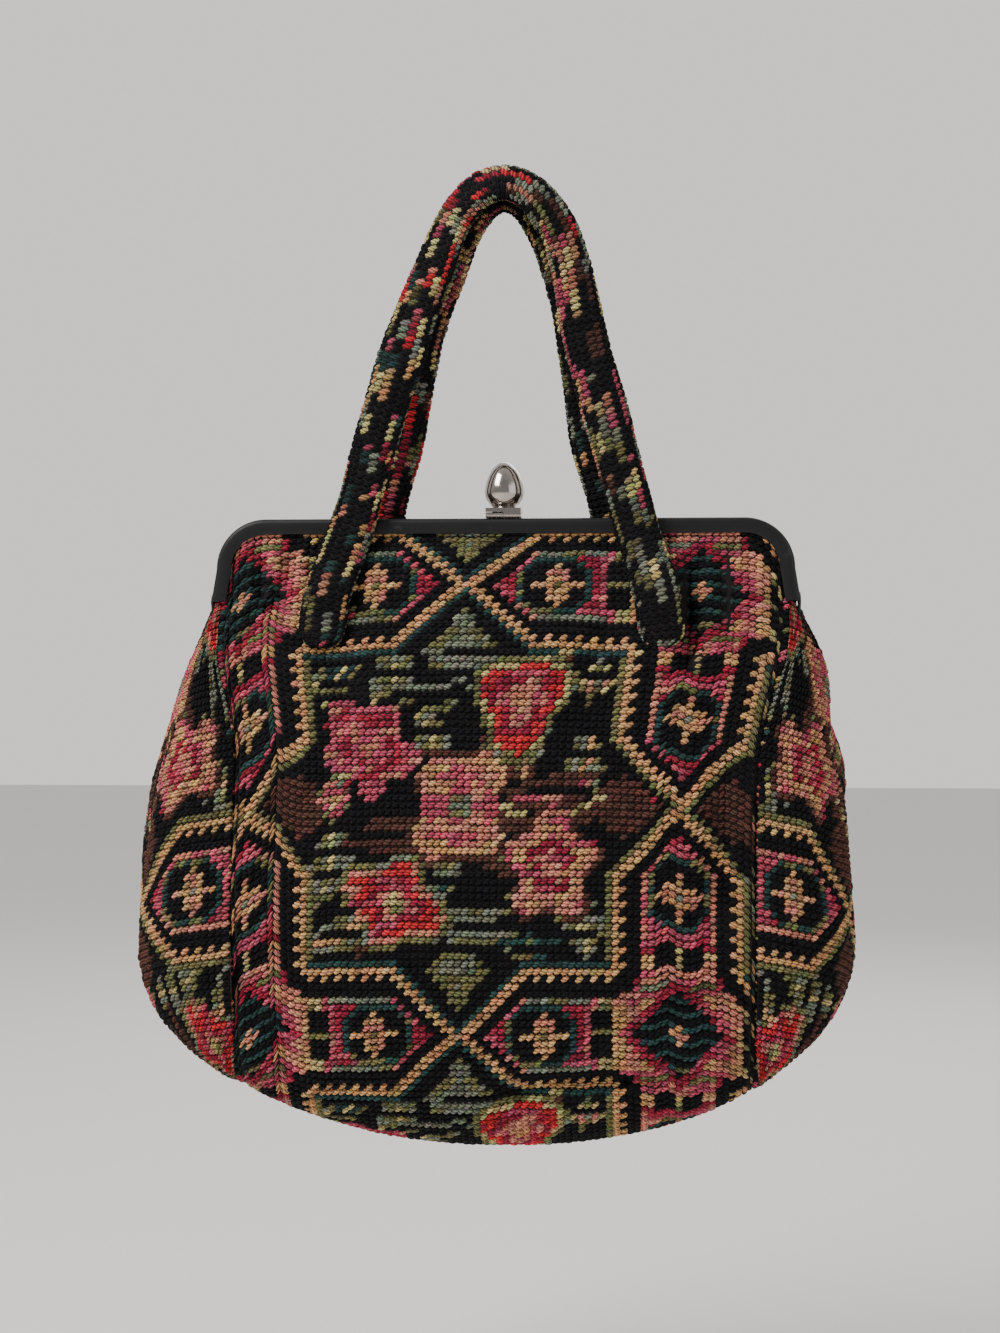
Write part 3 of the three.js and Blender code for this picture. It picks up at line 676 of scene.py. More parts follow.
def panel_points(side, across, along):
    """The front or rear cloth as points: across from -1 to 1 between the seams, along from
    0 at the frame to 1 at the bottom seam, each an array."""
    seam_low = seam_x(BELLY_Z)
    share = np.sin(np.pi / 2 * along)
    x_low = across * seam_low
    z = CLOTH_TOP + (bottom_under(x_low) - CLOTH_TOP) * share
    over = np.clip(np.abs(across) * seam_x(z) - (CORNER_HALF - CORNER_R), 0, None)
    radius = CORNER_R - BAND + TUCK
    drop = radius - np.sqrt(np.clip(radius ** 2 - over ** 2, 0, None))
    z = z - drop * (1 - ease(share * 6))
    x = across * seam_x(z)
    depth = cloth_depth(side, x, z)
    free = ease((TOP - BAND - z) / (16 * MM)) * ease((z - BOTTOM) / (12 * MM))
    press = soft_bumps(x, z, 11 if side < 0 else 12) * 3.2 * MM * free
    press += gathers(x, z) * 1.3 * MM
    for ends, width, curve, size in FRONT_FOLDS if side < 0 else REAR_FOLDS:
        press -= groove(x, z, ends, width, curve) * size * MM * free
    seam = np.exp(-((1 - np.abs(across)) * SEAM_HALF / SEAM_PULL) ** 2)
    seam = seam * ease((-200 * MM - z) / (30 * MM))
    press -= seam * 2.2 * MM
    if side > 0:
        press *= 0.55
    room = np.sqrt(np.clip(depth / FRONT_BULGE, 0, 1)) ** 0.5
    depth = np.maximum(depth + press * room, 0.25 * MM)
    return np.stack([x - lean(z), side * depth, z], -1)


def gusset_points(hand, across, along):
    """A side gusset: across from -1 at the front seam to 1 at the rear, along from the
    hinge to its lower tip. Its section is a half ellipse between the seams."""
    share = np.sin(np.pi / 2 * along)
    start = -196 * MM + 15 * MM * np.sqrt(np.abs(across))
    low = bottom_under(seam_x(BELLY_Z))
    z = start + (low - start) * share
    edge = seam_x(z)
    front, rear = cloth_depth(-1, edge, z), cloth_depth(1, edge, z)
    swing = np.pi / 2 * across
    fuller = 2.5 * MM if hand < 0 else -1.5 * MM
    reach = side_reach(z) + fuller * ease((-200 * MM - z) / (80 * MM))
    x = edge + (np.maximum(reach, edge + 1 * MM) - edge) * np.cos(swing) ** 0.8
    y = np.where(across < 0, front, rear) * np.sin(swing)
    press = soft_bumps(y * 2, z, 21 + hand) * 4.0 * MM * np.cos(swing)
    seam = np.exp(-((1 - np.abs(across)) * 60 / SEAM_PULL) ** 2)
    press -= seam * 2.0 * MM * ease((-205 * MM - z) / (30 * MM))
    press *= ease((z - low) / (20 * MM))
    return np.stack([hand * (x + press) - lean(z), y, z], -1)


def panel_surface(side):
    """The front or the rear panel, as a surface of its two shares alone."""
    return lambda across, along: panel_points(side, across, along)


def gusset_surface(hand, side):
    """The front or the rear half of a gusset, as a surface that counts its share across
    from -1 to 1 over that half alone."""
    def place(across, along):
        share = (across + 1) / 2
        return gusset_points(hand, share - 1 if side < 0 else share, along)

    return place


REPEAT = 62
MIDDLE = REPEAT // 2
black, gold, sand, salmon, pink, crimson, red, olive, sage, teal, brown = range(11)


def chart():
    """The tapestry's repeat in stitches, as palette numbers: a stepped star medallion of
    flowers in the middle, and four lobes round a rosette at each corner."""
    size = REPEAT
    v, u = np.meshgrid(np.arange(size) - MIDDLE, np.arange(size) - MIDDLE, indexing="ij")
    tile = np.zeros((size, size), dtype=int)
    draw = np.random.default_rng(5)

    def grown(mask, steps):
        for _ in range(abs(steps)):
            moved = [np.roll(mask, s, a) for s in (-1, 1) for a in (0, 1)]
            mask = np.logical_or.reduce([mask, *moved]) if steps > 0 \
                else np.logical_and.reduce([mask, *moved])
        return mask

    def lobes(p, q, stripes, rim, tip):
        limit = np.minimum(6.4, 27.6 - p)
        lobe = (q <= limit) & (p >= 3)
        deep = limit - q
        fill = np.array(stripes)[np.clip(p // 2, 0, 15) % len(stripes)]
        tile[lobe] = fill[lobe]
        tile[lobe & (deep < 1)] = np.where(p > 15, pink, rim)[lobe & (deep < 1)]
        tile[lobe & (deep >= 1) & (deep < 2) & (p > 12)] = tip
        tile[lobe & (p > 24)] = crimson
        out, cross, dot = np.abs(p - 19.5), np.abs(p - 19), np.abs(p - 11) < 1.2
        eye = np.maximum(out * 0.95, q * 1.05)
        tile[lobe & (eye < 4.6) & (out + q < 6.6)] = teal
        tile[lobe & (eye < 3.8) & (out + q < 5.6)] = black
        tile[lobe & (cross + q < 3.4) & ((q < 1) | (cross < 1.5))] = gold
        tile[lobe & (cross < 1) & (q < 1)] = olive
        tile[lobe & dot & (np.abs(q - 2) < 1.2)] = black
        tile[lobe & dot & (q < 1)] = sand

    cu, cv = MIDDLE - np.abs(u), MIDDLE - np.abs(v)
    lobes(cv, cu, (crimson, salmon, sand, olive, salmon, gold, crimson, pink), crimson, salmon)
    lobes(cu, cv, (crimson, red, gold, salmon, gold, sand, pink, crimson), pink, sage)
    rosette = cu + cv
    tile[rosette <= 8] = crimson
    tile[rosette <= 6] = np.where(cv % 2 < 1, black, teal)[rosette <= 6]
    tile[rosette <= 1] = gold

    au, av = np.abs(u), np.abs(v)
    star = (np.maximum(au, av) <= 22) | ((av > 22) & (au <= cv)) | ((au > 22) & (av <= cu))
    tile[grown(star, 3)] = black
    tile[grown(star, 1) & ~star & ((u + v) % 2 == 0)] = gold
    tile[star] = gold
    tile[grown(star, -1)] = np.where(au > av, olive, teal)[grown(star, -1)]
    inside = grown(star, -2)
    tile[inside] = black
    point = grown(star, -3) & (np.maximum(au, av) > 19)
    tile[point & (au > av) & (av <= 4.5 - np.abs(au - 23) * 0.6)] = brown
    tile[point & (av > au) & (au <= 4 - np.abs(av - 22) * 0.7)] = olive
    tile[point & (av > au) & (au <= 2.4 - np.abs(av - 21.5) * 0.7)] = sage

    def leaf(cx, cy, length, width, angle, edge, fill, rib):
        a = np.radians(angle)
        s = (u - cx) * np.cos(a) + (v - cy) * np.sin(a)
        t = -(u - cx) * np.sin(a) + (v - cy) * np.cos(a)
        t = t - 0.05 * s ** 2 / max(length / 6, 1)
        room = width * (1 - (s / length) ** 2) - np.abs(t)
        shape = (room >= 0) & (np.abs(s) < length) & inside
        tile[shape] = edge
        tile[shape & (room >= 1)] = fill
        tile[shape & (np.abs(t) < 0.5) & (np.abs(s) < length * 0.8)] = rib
        tile[shape & ((v + round(cx)) % 3 == 0) & (s > -length * 0.5)] = black

    def flower(cx, cy, radius, petals, turn, colours):
        r = np.hypot(u - cx, v - cy)
        a = np.arctan2(v - cy, u - cx) + turn
        edge = radius * (0.85 + 0.15 * np.cos(petals * a) + 0.10 * np.cos(2 * a + radius))
        uneven = draw.normal(0, 0.12, (size, 1))
        for share, colour in colours:
            tile[(r <= edge * share * (1 + (uneven if share < 0.9 else 0))) & inside] = colour

    for x0, y0, x1, y1, bow in ((-20, 0, -3, 3, 3), (3, 0, 20, -1, -3), (2, 4, 14, 19, 3),
                                (-3, -5, -14, -20, -2), (-6, 4, -19, 12, -2), (4, -8, 18, -18, 2)):
        share = np.linspace(0, 1, 70)
        sway = bow * np.sin(np.pi * share)
        px = np.round(x0 + (x1 - x0) * share + sway * 0.4).astype(int) + MIDDLE
        py = np.round(y0 + (y1 - y0) * share + sway).astype(int) + MIDDLE
        for step in (0, 1):
            tile[py + step, px] = brown
        tile[py[::3] + 2, px[::3]] = sand
    for cx, cy, length, width, angle, edge, fill, rib in (
            (-3, 16, 8, 3.2, 15, olive, black, sage), (-9, 18, 6, 2.6, 70, sage, olive, sand),
            (17, 4, 7, 3, 70, olive, sage, gold), (17, -15, 6, 3, 120, sage, olive, sand),
            (4, -16, 8, 3.6, 12, olive, sage, black), (-18, -8, 7, 3, 75, olive, sage, sand),
            (-16, -17, 6, 2.6, 30, sage, olive, gold), (-17, 18, 5, 2.4, 35, olive, teal, sand),
            (7, 7, 5, 2.4, 140, brown, brown, gold), (-8, -4, 8, 3, 170, brown, brown, sand),
            (13, 1, 7, 3, 10, brown, brown, salmon), (18, 17, 4, 2, 80, sand, gold, olive),
            (-4, 9, 5, 2.4, 110, sage, olive, sand), (-2, -10, 5, 2, 60, sage, teal, sage),
            (10, -19, 5, 2, 0, teal, olive, sage), (0, 20, 6, 1.6, 0, sage, teal, sage)):
        leaf(cx, cy, length, width, angle, edge, fill, rib)
    flower(0, 0, 8.2, 4, np.pi / 4, ((1.12, brown), (1, gold), (0.7, pink), (0.55, gold),
                                     (0.36, salmon)))
    tile[((au < 1.5) & (av < 6)) | ((av < 1.5) & (au < 6))] = pink
    tile[np.hypot(u, v) < 1.6] = olive
    flower(-13, 8, 7.2, 5, 0.3, ((1.1, black), (1, pink), (0.72, crimson), (0.5, pink),
                                 (0.25, salmon)))
    flower(8, 14, 6.8, 3, np.pi / 2, ((1.22, olive), (1.08, sand), (0.95, red), (0.68, crimson),
                                      (0.5, salmon), (0.36, pink), (0.2, gold)))
    flower(13, -8, 7.4, 5, 1.0, ((1.1, brown), (1, salmon), (0.7, gold), (0.5, crimson),
                                 (0.28, salmon)))
    flower(-9, -13, 6.6, 4, 0.4, ((1.2, olive), (1.05, salmon), (0.88, red), (0.62, crimson),
                                  (0.42, salmon), (0.24, sand)))
    flower(-18, 1, 2.6, 4, 0.0, ((1.1, olive), (1, pink), (0.4, gold)))
    partner = np.array([black, salmon, olive, pink, salmon, pink, crimson, sage, olive,
                        olive, crimson])
    run = np.repeat(draw.random((size, size // 2)), 2, axis=1)
    run = np.maximum(run, np.roll(run, 1, axis=1))
    streak = (run > 0.80) & (tile != brown) & (tile != black) | (run > 0.985)
    border = grown(star, 2) & ~grown(star, -2)
    return np.where(streak & ~border, partner[tile], tile)


PALETTE = np.array([
    (20, 20, 25), (226, 172, 120), (206, 188, 128), (218, 142, 122), (204, 90, 112), (170, 48, 72),
    (226, 58, 64), (126, 124, 82), (130, 136, 118), (46, 76, 74), (96, 62, 54)]) / 255
CHART = chart()


def linear(colour):
    """Screen colour to linear light."""
    return np.where(colour <= 0.04045, colour / 12.92, ((colour + 0.055) / 1.055) ** 2.4)


def wool():
    """Twisted wool: each stitch's own colour, with painted shade between its plies and towards
    the stitch's edges, dusty on top, with the plies and fine fuzz as relief."""
    made = material("tapestry_wool", (0.1, 0.1, 0.1), 0.85, Specular_IOR_Level=0.14)
    shade = Shading(made)
    own = shade.node("ShaderNodeAttribute", {"attribute_name": "stitch_colour"}, output="Color")
    a, b, _ = shade.parts(shade.node("ShaderNodeUVMap", {"uv_map": "yarn"}))
    ply = ((a * 14.0 + b * 8.0).maths("SINE") * 0.5 + 0.5) ** 0.7
    # rim: near 1 at the stitch's edges, where it dips into the canvas and painted shade darkens it
    rim = ((b - 0.5) * (b - 0.5) * 4.0 + ((a - 0.5) * (a - 0.5) * 4.0) ** 3.0).clamp()
    fuzz = shade.noise(2600, 3, 0.7)
    # painted shade: a darkened copy of the stitch's colour, mixed in between the plies and at the
    # edges
    dark = shade.mix(1.0, own, (0.17, 0.15, 0.15, 1), "MULTIPLY")
    light = shade.mix(0.10, own, (0.60, 0.52, 0.45, 1))
    colour = shade.mix((ply * 0.9 + fuzz * 0.4 + (1.0 - rim) * 0.4 - 0.3).clamp(), dark, own)
    shade.colour((fuzz * 2.4 - 1.2).clamp() * shade.noise(90, 2), colour, light)
    shade.bump(ply * 0.7 + fuzz * 0.5, 1.0, 0.0010)
    return made


def canvas():
    """The woven canvas that shows between the stitches, coloured near black as painted shade
    in the gaps between them.
    """
    made = material("canvas_painted_shade", (0.012, 0.011, 0.012), 0.95, Specular_IOR_Level=0.05)
    shade = Shading(made)
    # painted shade: the canvas is near black so that the gaps between the stitches read as shade
    shade.colour(shade.noise(500, 3), (0.006, 0.006, 0.007, 1), (0.03, 0.026, 0.025, 1))
    shade.bump(shade.noise(1500, 2), 0.5, 0.0004)
    return made


tapestry_wool, canvas_painted_shade = wool(), canvas()
STITCH_A = np.array([-1.0, -0.72, 0.0, 0.72, 1.0])      # places along a stitch
STITCH_B = np.array([-1.0, -0.42, 0.42, 1.0])           # places across it
MOST_STRETCH = 1.3
CANVAS_THICK = 1.6
COTTON_THICK = 0.7
LINING_INSET = 2.8
POCKET_INSET = 4.2


def unstretched(edges, pitch):
    """Cell edges, none much longer than the pitch, even where the cloth dives into the frame."""
    length = np.linalg.norm(edges, axis=-1, keepdims=True)
    return edges * np.minimum(1, MOST_STRETCH * pitch / np.maximum(length, 1e-9))


def unit(vectors, least=1e-12):
    """The same directions at a length of one, but for ones shorter than `least`."""
    return vectors / np.maximum(np.linalg.norm(vectors, axis=-1, keepdims=True), least)


def run_along(points):
    """How far each point is along its line from the first, in a line or a grid of lines."""
    steps = np.linalg.norm(np.diff(points, axis=0), axis=-1)
    return np.concatenate([np.zeros((1, *steps.shape[1:])), np.cumsum(steps, axis=0)])


def stitches(name, cells, colours, seed, length=0.68, width=0.39, height=1.5):
    """One plump half-pill for each cell, given as its middle, its right and up edges and its
    outward direction. The pill's long way is slanted between right and up, and its height
    falls off as the root of one minus the fourth power along and the square across."""
    centre, right, up, out = cells
    right, up = unstretched(right, STITCH_WIDE), unstretched(up, STITCH)
    draw = np.random.default_rng(seed)
    count = len(centre)
    slant = np.radians(36 + draw.normal(0, 6, count))[:, None]
    size = 1 + draw.normal(0, 0.035, (count, 1))
    long_way = (right * np.cos(slant) + up * np.sin(slant)) * size * length
    wide_way = (-right * np.sin(slant) + up * np.cos(slant)) * size * width
    a, b = np.meshgrid(STITCH_A, STITCH_B, indexing="ij")
    a, b = a.ravel(), b.ravel()
    taper = 1 - 0.42 * a ** 4
    rise = np.sqrt(np.clip(1 - a ** 4, 0, 1)) * np.sqrt(1 - 0.92 * b ** 2) * 1.25 - 0.25
    tall = height * MM * (1 + draw.normal(0, 0.12, (count, 1)))
    nudge = draw.normal(0, 0.035, (count, 2))
    centre = centre + right * nudge[:, :1] + up * nudge[:, 1:]
    points = (centre[:, None] + long_way[:, None] * a[:, None]
              + wide_way[:, None] * (b * taper)[:, None] + out[:, None] * (rise * tall)[..., None])
    cell = grid_faces(len(STITCH_A), len(STITCH_B))[:, ::-1]
    per = len(a)
    faces = (cell[None] + np.arange(count)[:, None, None] * per).reshape(-1, 4)
    made = mesh_object(name, points.reshape(-1, 3), faces, tapestry_wool)
    mesh = made.data
    shade = colours * (1 + draw.normal(0, 0.09, (count, 1)))
    shade = shade * (1 + draw.normal(0, 0.035, (count, 3)))
    rgba = np.ones((count, per, 4), dtype=np.float32)
    rgba[:, :, :3] = linear(np.clip(shade, 0.004, 1))[:, None]
    own = mesh.attributes.new("stitch_colour", "FLOAT_COLOR", "POINT")
    own.data.foreach_set("color", rgba.ravel())
    corner = np.empty(len(mesh.loops), dtype=np.int32)
    mesh.loops.foreach_get("vertex_index", corner)
    yarn = np.stack([(a + 1) / 2, (b + 1) / 2], 1)[corner % per]
    mesh.uv_layers.new(name="yarn").data.foreach_set("uv", yarn.astype(np.float32).ravel())
    return made


def cells_of(grid, mirrored):
    """The cells of a grid of points: their middles, right and up edges, and outward unit
    directions. A mirrored grid has its outside on the other hand."""
    middle = (grid[1:, 1:] + grid[1:, :-1] + grid[:-1, 1:] + grid[:-1, :-1]) / 4
    right = (grid[1:, 1:] - grid[1:, :-1] + grid[:-1, 1:] - grid[:-1, :-1]) / 2
    up = (grid[:-1, 1:] - grid[1:, 1:] + grid[:-1, :-1] - grid[1:, :-1]) / 2
    out = unit(np.cross(right, up))
    return (middle, -right, up, -out) if mirrored else (middle, right, up, out)


def rows_down(place, columns, pitch=None, rows=None):
    """Points down every column of a surface at equal lengths, read off from a finely stepped
    copy: either `pitch` apart, with rows past the lower edge held on it, or `rows` of them."""
    across, along = np.meshgrid(columns, np.linspace(0, 1, 700))
    points = place(across, along)
    length = run_along(points)
    if pitch:
        rows = int(np.ceil(length[-1].max() / pitch))
        want = np.minimum(np.arange(rows + 1)[:, None] * pitch, length[-1])
    else:
        want = np.linspace(0, 1, rows + 1)[:, None] * length[-1]
    result = np.empty((rows + 1, len(columns), 3))
    for k in range(len(columns)):
        for axis in range(3):
            result[:, k, axis] = np.interp(want[:, k], length[:, k], points[:, k, axis])
    return result


def even_columns(place):
    """Places across a surface one stitch apart, measured along it well below its top."""
    fine = np.linspace(-1, 1, 600)
    length = run_along(place(fine, np.full(600, 0.5)))
    count = 2 * int(round(length[-1] / STITCH_WIDE / 2))
    return np.interp(np.linspace(0, length[-1], count + 1), length, fine)


def cloth_base(name, grid, mirrored, finish, thickness):
    """A grid of points as a sheet of cloth with its thickness behind it."""
    faces = grid_faces(*grid.shape[:2])
    base = mesh_object(name, grid.reshape(-1, 3), faces if mirrored else faces[:, ::-1], finish)
    wall = base.modifiers.new("thickness", "SOLIDIFY")
    wall.thickness = thickness * MM
    wall.offset = -1
    return base


def worked_cloth(name, place, colour_of, seed, mirrored):
    """A panel of canvas and its stitches. `place` gives the surface, and
    colour_of(column, row) gives the stitches' colours, counted from the left and the top.
    Stitches that the lower seam would leave less than a third of are left out."""
    columns = even_columns(place)
    base = cloth_base(name, rows_down(place, columns[::2], rows=70), mirrored, canvas_painted_shade,
                      CANVAS_THICK)
    cells = cells_of(rows_down(place, columns, STITCH), mirrored)
    whole = np.linalg.norm(cells[2], axis=-1) > STITCH / 3
    row, column = np.nonzero(whole)
    worked = stitches(name + "_stitches", [field[whole] for field in cells],
                      colour_of(column, row), seed)
    return base, worked


def chart_colour(row, column):
    """The chart's colours, repeated for ever, at rows up and columns to the right."""
    row, column = np.round(row).astype(int), np.round(column).astype(int)
    return PALETTE[CHART[np.mod(row, REPEAT), np.mod(column, REPEAT)]]


MEDALLION_COLUMNS = {-1: 34, 1: 40}
MEDALLION_DROP = 40
GUSSET_COLUMNS = 17
GUSSET_START = 14
GUSSET_DROP = 20


def panel_colours(side):
    """The chart hangs with a medallion's middle below the frame, off to one side."""
    first = MIDDLE - MEDALLION_COLUMNS[side]
    return lambda column, down: chart_colour(MIDDLE + MEDALLION_DROP - down, first + column)


def gusset_colours(side):
    """The gussets are cut across the cloth, so the chart is turned a quarter."""
    first = GUSSET_START + (0 if side < 0 else GUSSET_COLUMNS)
    return lambda column, down: chart_colour(column + first, down + GUSSET_DROP)


def blend_half(piece):
    """Bakes a piece's placement into its points."""
    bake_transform(piece)


def sew_in(pieces, nodes):
    """Bakes a canvas's and its stitches' placement into their points, and hides their parts."""
    for piece in pieces:
        blend_half(piece)
    if nodes:
        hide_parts(*nodes)


for side, word in SIDES:
    made = worked_cloth(word + "_tapestry", panel_surface(side), panel_colours(side),
                        31 + side, side > 0)
    sew_in(made, (f"{word}_panel", f"{word}_panel_top"))
for hand, word, side, half in GUSSET_HALVES:
    made = worked_cloth(f"{word}_gusset_{half}", gusset_surface(hand, side),
                        gusset_colours(side), 41 + hand * 2 + side, hand < 0)
    sew_in(made, (f"{word}_gusset",) if side < 0 else ())


# ---------------------------------------------------------------- Lining and pocket
# A loose lining of dark cotton hangs inside the tapestry from the same channels and is sewn
# to it along the seams. A flat pocket is stitched to the rear of it.

def cotton():
    """Plain-woven brown cotton, a little faded in patches, with its threads as relief."""
    made = material("brown_cotton", (0.03, 0.025, 0.022), 0.9, Sheen_Weight=0.1)
    shade = Shading(made)
    x, _, z = shade.parts(shade.place())
    weave = (x * 9000).maths("SINE") * (z * 9000).maths("SINE") * 0.5 + 0.5
    shade.colour(shade.noise(25, 4), (0.045, 0.036, 0.030, 1), (0.022, 0.018, 0.016, 1))
    shade.bump(weave * 0.5 + shade.noise(200, 4) * 0.5, 0.5, 0.0005)
    return made


brown_cotton = cotton()


def lining(name, place, columns, rows, mirrored, inset, nodes,
           span=(-1, 1), reach=(0, 1)):
    """A smooth layer of cotton `inset` behind a surface of the pouch."""
    across, along = np.meshgrid(np.linspace(*span, columns), np.linspace(*reach, rows))
    grid = place(across, along)
    right, down = np.gradient(grid, axis=1), np.gradient(grid, axis=0)
    out = unit(np.cross(down, right), 1e-9)
    grid = grid + out * (inset * MM if mirrored else -inset * MM)
    made = cloth_base(name, grid, mirrored, brown_cotton, COTTON_THICK)
    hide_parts(*nodes)
    blend_half(made)


for side, word in SIDES:
    lining(f"{word}_lining", panel_surface(side), 50, 64, side > 0, LINING_INSET,
           (f"lining_{word}_panel", f"lining_{word}_panel_top"))
lining("pocket", panel_surface(1), 24, 20, True, POCKET_INSET,
       ("lining_pocket",), (-0.43, 0.43), (0.21, 0.485))
for hand, word, side, half in GUSSET_HALVES:
    lining(f"{word}_gusset_lining_{half}", gusset_surface(hand, side), 14, 40, hand < 0,
           LINING_INSET, (f"lining_{word}_gusset",) if side < 0 else ())


# ---------------------------------------------------------------- Strap handles
# Two tubes of the same tapestry, padded, with their ends sewn flat to the panels. They fold
# down at the ends and lie one over the other where the bag hangs.

STRAP_WIDTH = 19.5 * MM
STRAP_THICK = 7.8 * MM
STRAP_CUT = -184.5 * MM
FILLING_END = -171 * MM     # the filling stops above the fold
AROUND = 16                 # stitches round a strap
LEAN_BACK = np.radians(38)
END_TAPER = 9 * MM
DULLED = 0.84
DARK_BELOW, SAGE_ABOVE, SAND_ABOVE = 0.26, 0.84, 0.93


def smooth_line(points, count):
    """Evenly spaced points on a curve through the given ones: cubic Hermite pieces whose
    knots are the roots of the distances, then read off at equal lengths."""
    points = np.asarray(points)
    steps = np.sqrt(np.linalg.norm(np.diff(points, axis=0), axis=1))
    knots = np.concatenate([[0], np.cumsum(steps)])
    slope = np.diff(points, axis=0) / steps[:, None]
    inner = slope[:-1] * steps[1:, None] + slope[1:] * steps[:-1, None]
    inner = inner / (steps[1:] + steps[:-1])[:, None]
    tangent = np.concatenate([slope[:1], inner, slope[-1:]])
    t = np.linspace(0, knots[-1], 1500)
    k = np.clip(np.searchsorted(knots, t, side="right") - 1, 0, len(steps) - 1)
    h, s = steps[k][:, None], ((t - knots[k]) / steps[k])[:, None]
    curve = (points[k] * (1 + 2 * s) * (1 - s) ** 2 + tangent[k] * h * s * (1 - s) ** 2
             + points[k + 1] * s * s * (3 - 2 * s) + tangent[k + 1] * h * s * s * (s - 1))
    length = run_along(curve)
    want = np.linspace(0, length[-1], count)
    return np.stack([np.interp(want, length, curve[:, axis]) for axis in range(3)], 1), length[-1]


def strap_legs(side):
    """The middle line's chosen points in mm up one leg, from the sewn end to the top."""
    outer = side < 0
    apex = 8.8 if outer else 6.5
    foot = 77 if outer else 61
    across = (63, 53.5, 40.5, 30.6, 22.5, 11.5) if outer else (53.5, 44.5, 37, 26.5, 19, 9.5)

    def hug(x, z):
        return float(cloth_depth(side, np.array(x * MM), np.array(z * MM))) / MM

    return [(foot, hug(foot, -203) + 1.6, -204.5), (foot - 0.7, hug(foot, -196) + 3.0, -196),
            (foot - 1.7, hug(foot, -187) + 4.2, -187), (foot - 4, hug(foot, -181) + 5.3, -176),
            (foot - 8, 19.5, -163), (across[0], 13.7, -143), (across[1], 11.7, -107),
            (across[2], 10, -62), (across[3], 8.8, -28), (across[4], 8, apex - 17),
            (across[5], 7.8, apex - 4), (0, 7.8, apex)]


def strap_grid(side, share=1.0):
    """The padded tube as a grid: rows along the strap, columns round its oval section, whose
    long way lies in the plane of the arch and leans back over the top. `share` scales the
    section."""
    leg = np.array(strap_legs(side)) * MM * [1, side, 1]
    whole = np.concatenate([leg * [-1, 1, 1], leg[::-1][1:]])
    whole[:, 0] -= 4 * MM * ease((-20 * MM - whole[:, 2]) / (60 * MM))
    rows = int(round(smooth_line(whole, 10)[1] / STITCH)) + 1
    line, _ = smooth_line(whole, rows)
    along = unit(np.gradient(line, axis=0))
    turn = ease((line[:, 2] - (TOP + 60 * MM)) / (95 * MM)) * LEAN_BACK
    wide = np.stack([-along[:, 2] * np.cos(turn), np.sin(turn), along[:, 0] * np.cos(turn)], 1)
    wide = unit(wide - along * np.sum(wide * along, 1, keepdims=True))
    thick = np.cross(along, wide)
    count = np.arange(rows)
    from_end = np.minimum(count, count[::-1]) * STITCH
    taper = 1 - np.clip(from_end / END_TAPER, 0, 1)
    close = np.sqrt(np.clip(1 - taper ** 2, 0, 1))[:, None]
    flat = 0.42 + 0.58 * ease((line[:, 2:] + 202 * MM) / (24 * MM))
    slack = (1 + 0.035 * np.sin(count / 5.3) + 0.02 * np.sin(count / 2.1))[:, None]
    swing = np.linspace(0, 2 * np.pi, AROUND + 1)
    c, s = np.cos(swing), np.sin(swing)
    c, s = np.sign(c) * np.abs(c) ** 0.85, np.sign(s) * np.abs(s) ** 0.85
    half_wide = share * STRAP_WIDTH / 2 * slack * (0.35 + 0.65 * close)
    half_thick = share * STRAP_THICK / 2 * flat * (0.25 + 0.75 * close)
    return (line[:, None] + wide[:, None] * (half_wide * c)[..., None]
            + thick[:, None] * (half_thick * s)[..., None])


def tube(name, grid, finish):
    """A closed tube from a grid whose last column repeats its first, its ends drawn in."""
    rows, columns = grid.shape[0], grid.shape[1] - 1
    ends = grid[[0, -1], :-1].mean(axis=1, keepdims=True)
    caps = [np.repeat(end, columns, axis=0) for end in ends]
    rings = np.concatenate([caps[:1], grid[:, :-1], caps[1:]])
    faces = grid_faces(rows + 2, columns, wrap_columns=True)
    made = mesh_object(name, rings.reshape(-1, 3), faces, finish)
    recalculate(made)
    return made


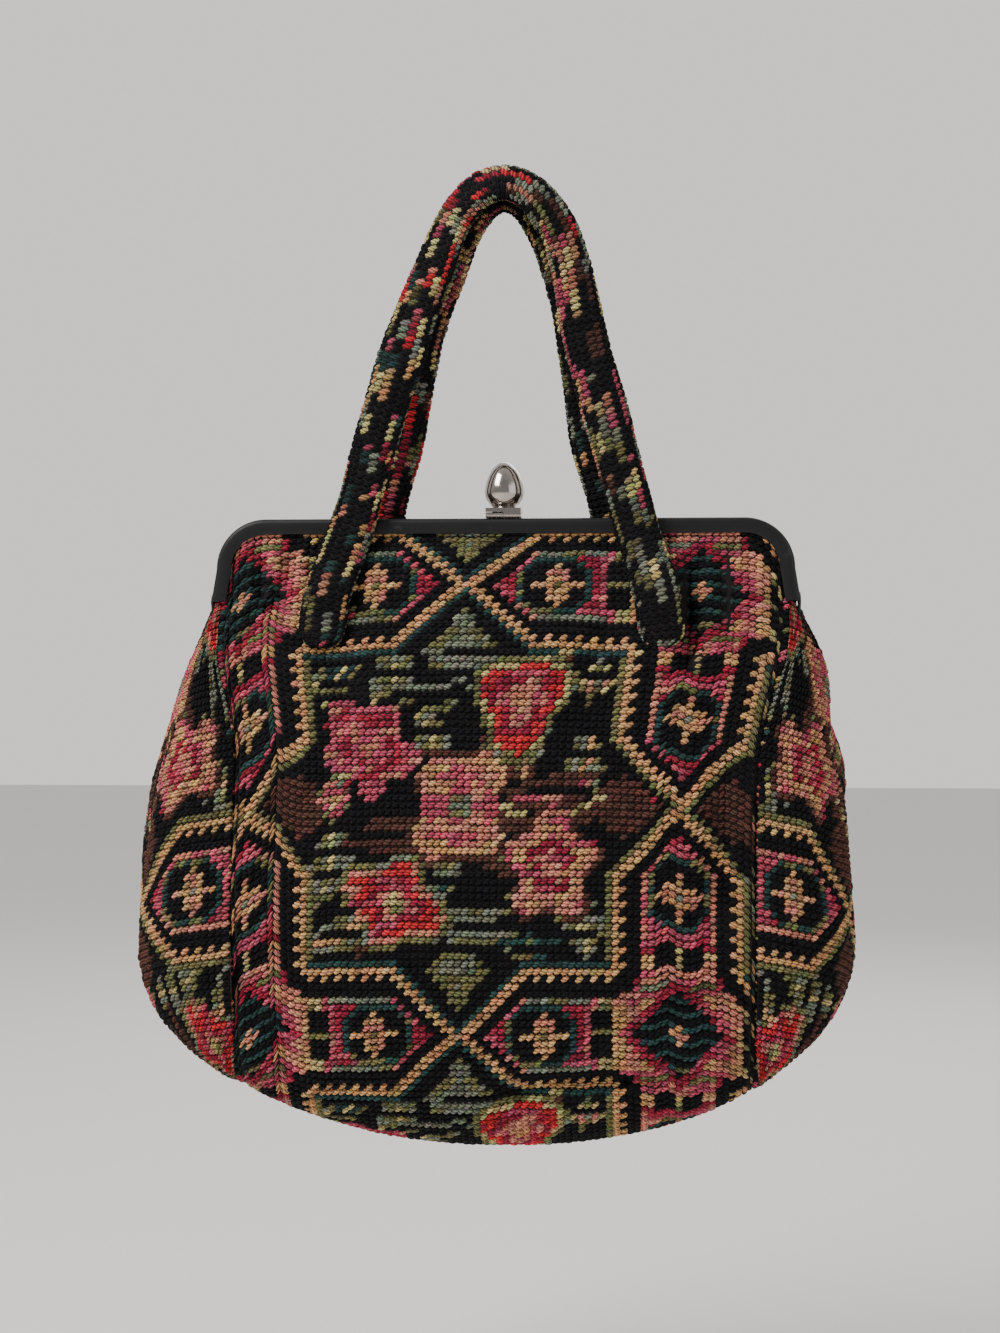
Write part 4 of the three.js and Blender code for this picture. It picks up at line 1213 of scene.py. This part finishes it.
def strap_pieces(side, word, seed):
    """Cuts a strap at its fold lines into the handle and its two sewn ends."""
    grid = strap_grid(side)
    level = grid[:, :, 2].mean(axis=1)
    inner = np.flatnonzero(level > STRAP_CUT)
    first, last = inner[0], inner[-1]
    spans = (("left_end", "handle_left_tab", 0, first + 1),
             ("strap", "handle", first, last + 1),
             ("right_end", "handle_right_tab", last, len(grid)))
    for ending, node, start, stop in spans:
        part = grid[start:stop]
        base = tube(f"{word}_{ending}", part, canvas_painted_shade)
        cells = [field.reshape(-1, 3) for field in cells_of(part, True)]
        row, column = np.indices((len(part) - 1, AROUND))
        colours = strap_colours(row.ravel() + start, column.ravel(), side)
        sewn = stitches(f"{word}_{ending}_stitches", cells, colours, seed + start, height=1.1)
        for piece in (base, sewn):
            if ending == "strap":
                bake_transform(piece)
            else:
                blend_half(piece)
        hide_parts(f"{word}_{node}")


def strap_core(side, word):
    """The wadding inside a handle, stopping short of its fold lines."""
    grid = strap_grid(side, 0.6)
    inner = np.flatnonzero(grid[:, :, 2].mean(axis=1) > FILLING_END)
    core = tube(f"{word}_strap_filling", grid[inner[0]:inner[-1] + 1], cotton_wadding)
    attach(core, word + "_grip")
    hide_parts(f"{word}_handle_core")


def strap_colours(row, column, side):
    """Strips of the chart cut through its lobes. The pull of the strap has drawn the colours
    out along it, each column by its own amount, and use has dulled them."""
    slip = 4 * np.sin(column * 2.4 + side) + 2.5 * np.sin(column * 5.1)
    colours = chart_colour(row * 0.42 + slip + 9 * side, column + 19 + row * 0.03) * DULLED
    chance = np.random.default_rng(91 + side).random((AROUND, 100))[column, (row + column) // 3]
    colours[chance < DARK_BELOW] = PALETTE[black]
    colours[chance > SAGE_ABOVE] = PALETTE[sage]
    colours[chance > SAND_ABOVE] = PALETTE[sand]
    return colours


cotton_wadding = material("cotton_wadding", (0.75, 0.72, 0.64), 0.95)
shade = Shading(cotton_wadding)
shade.colour(shade.noise(300, 4), (0.80, 0.77, 0.70, 1), (0.62, 0.58, 0.50, 1))
shade.bump(shade.noise(700, 5), 0.6, 0.001)
for side, word in SIDES:
    strap_pieces(side, word, 61 + side)
    strap_core(side, word)
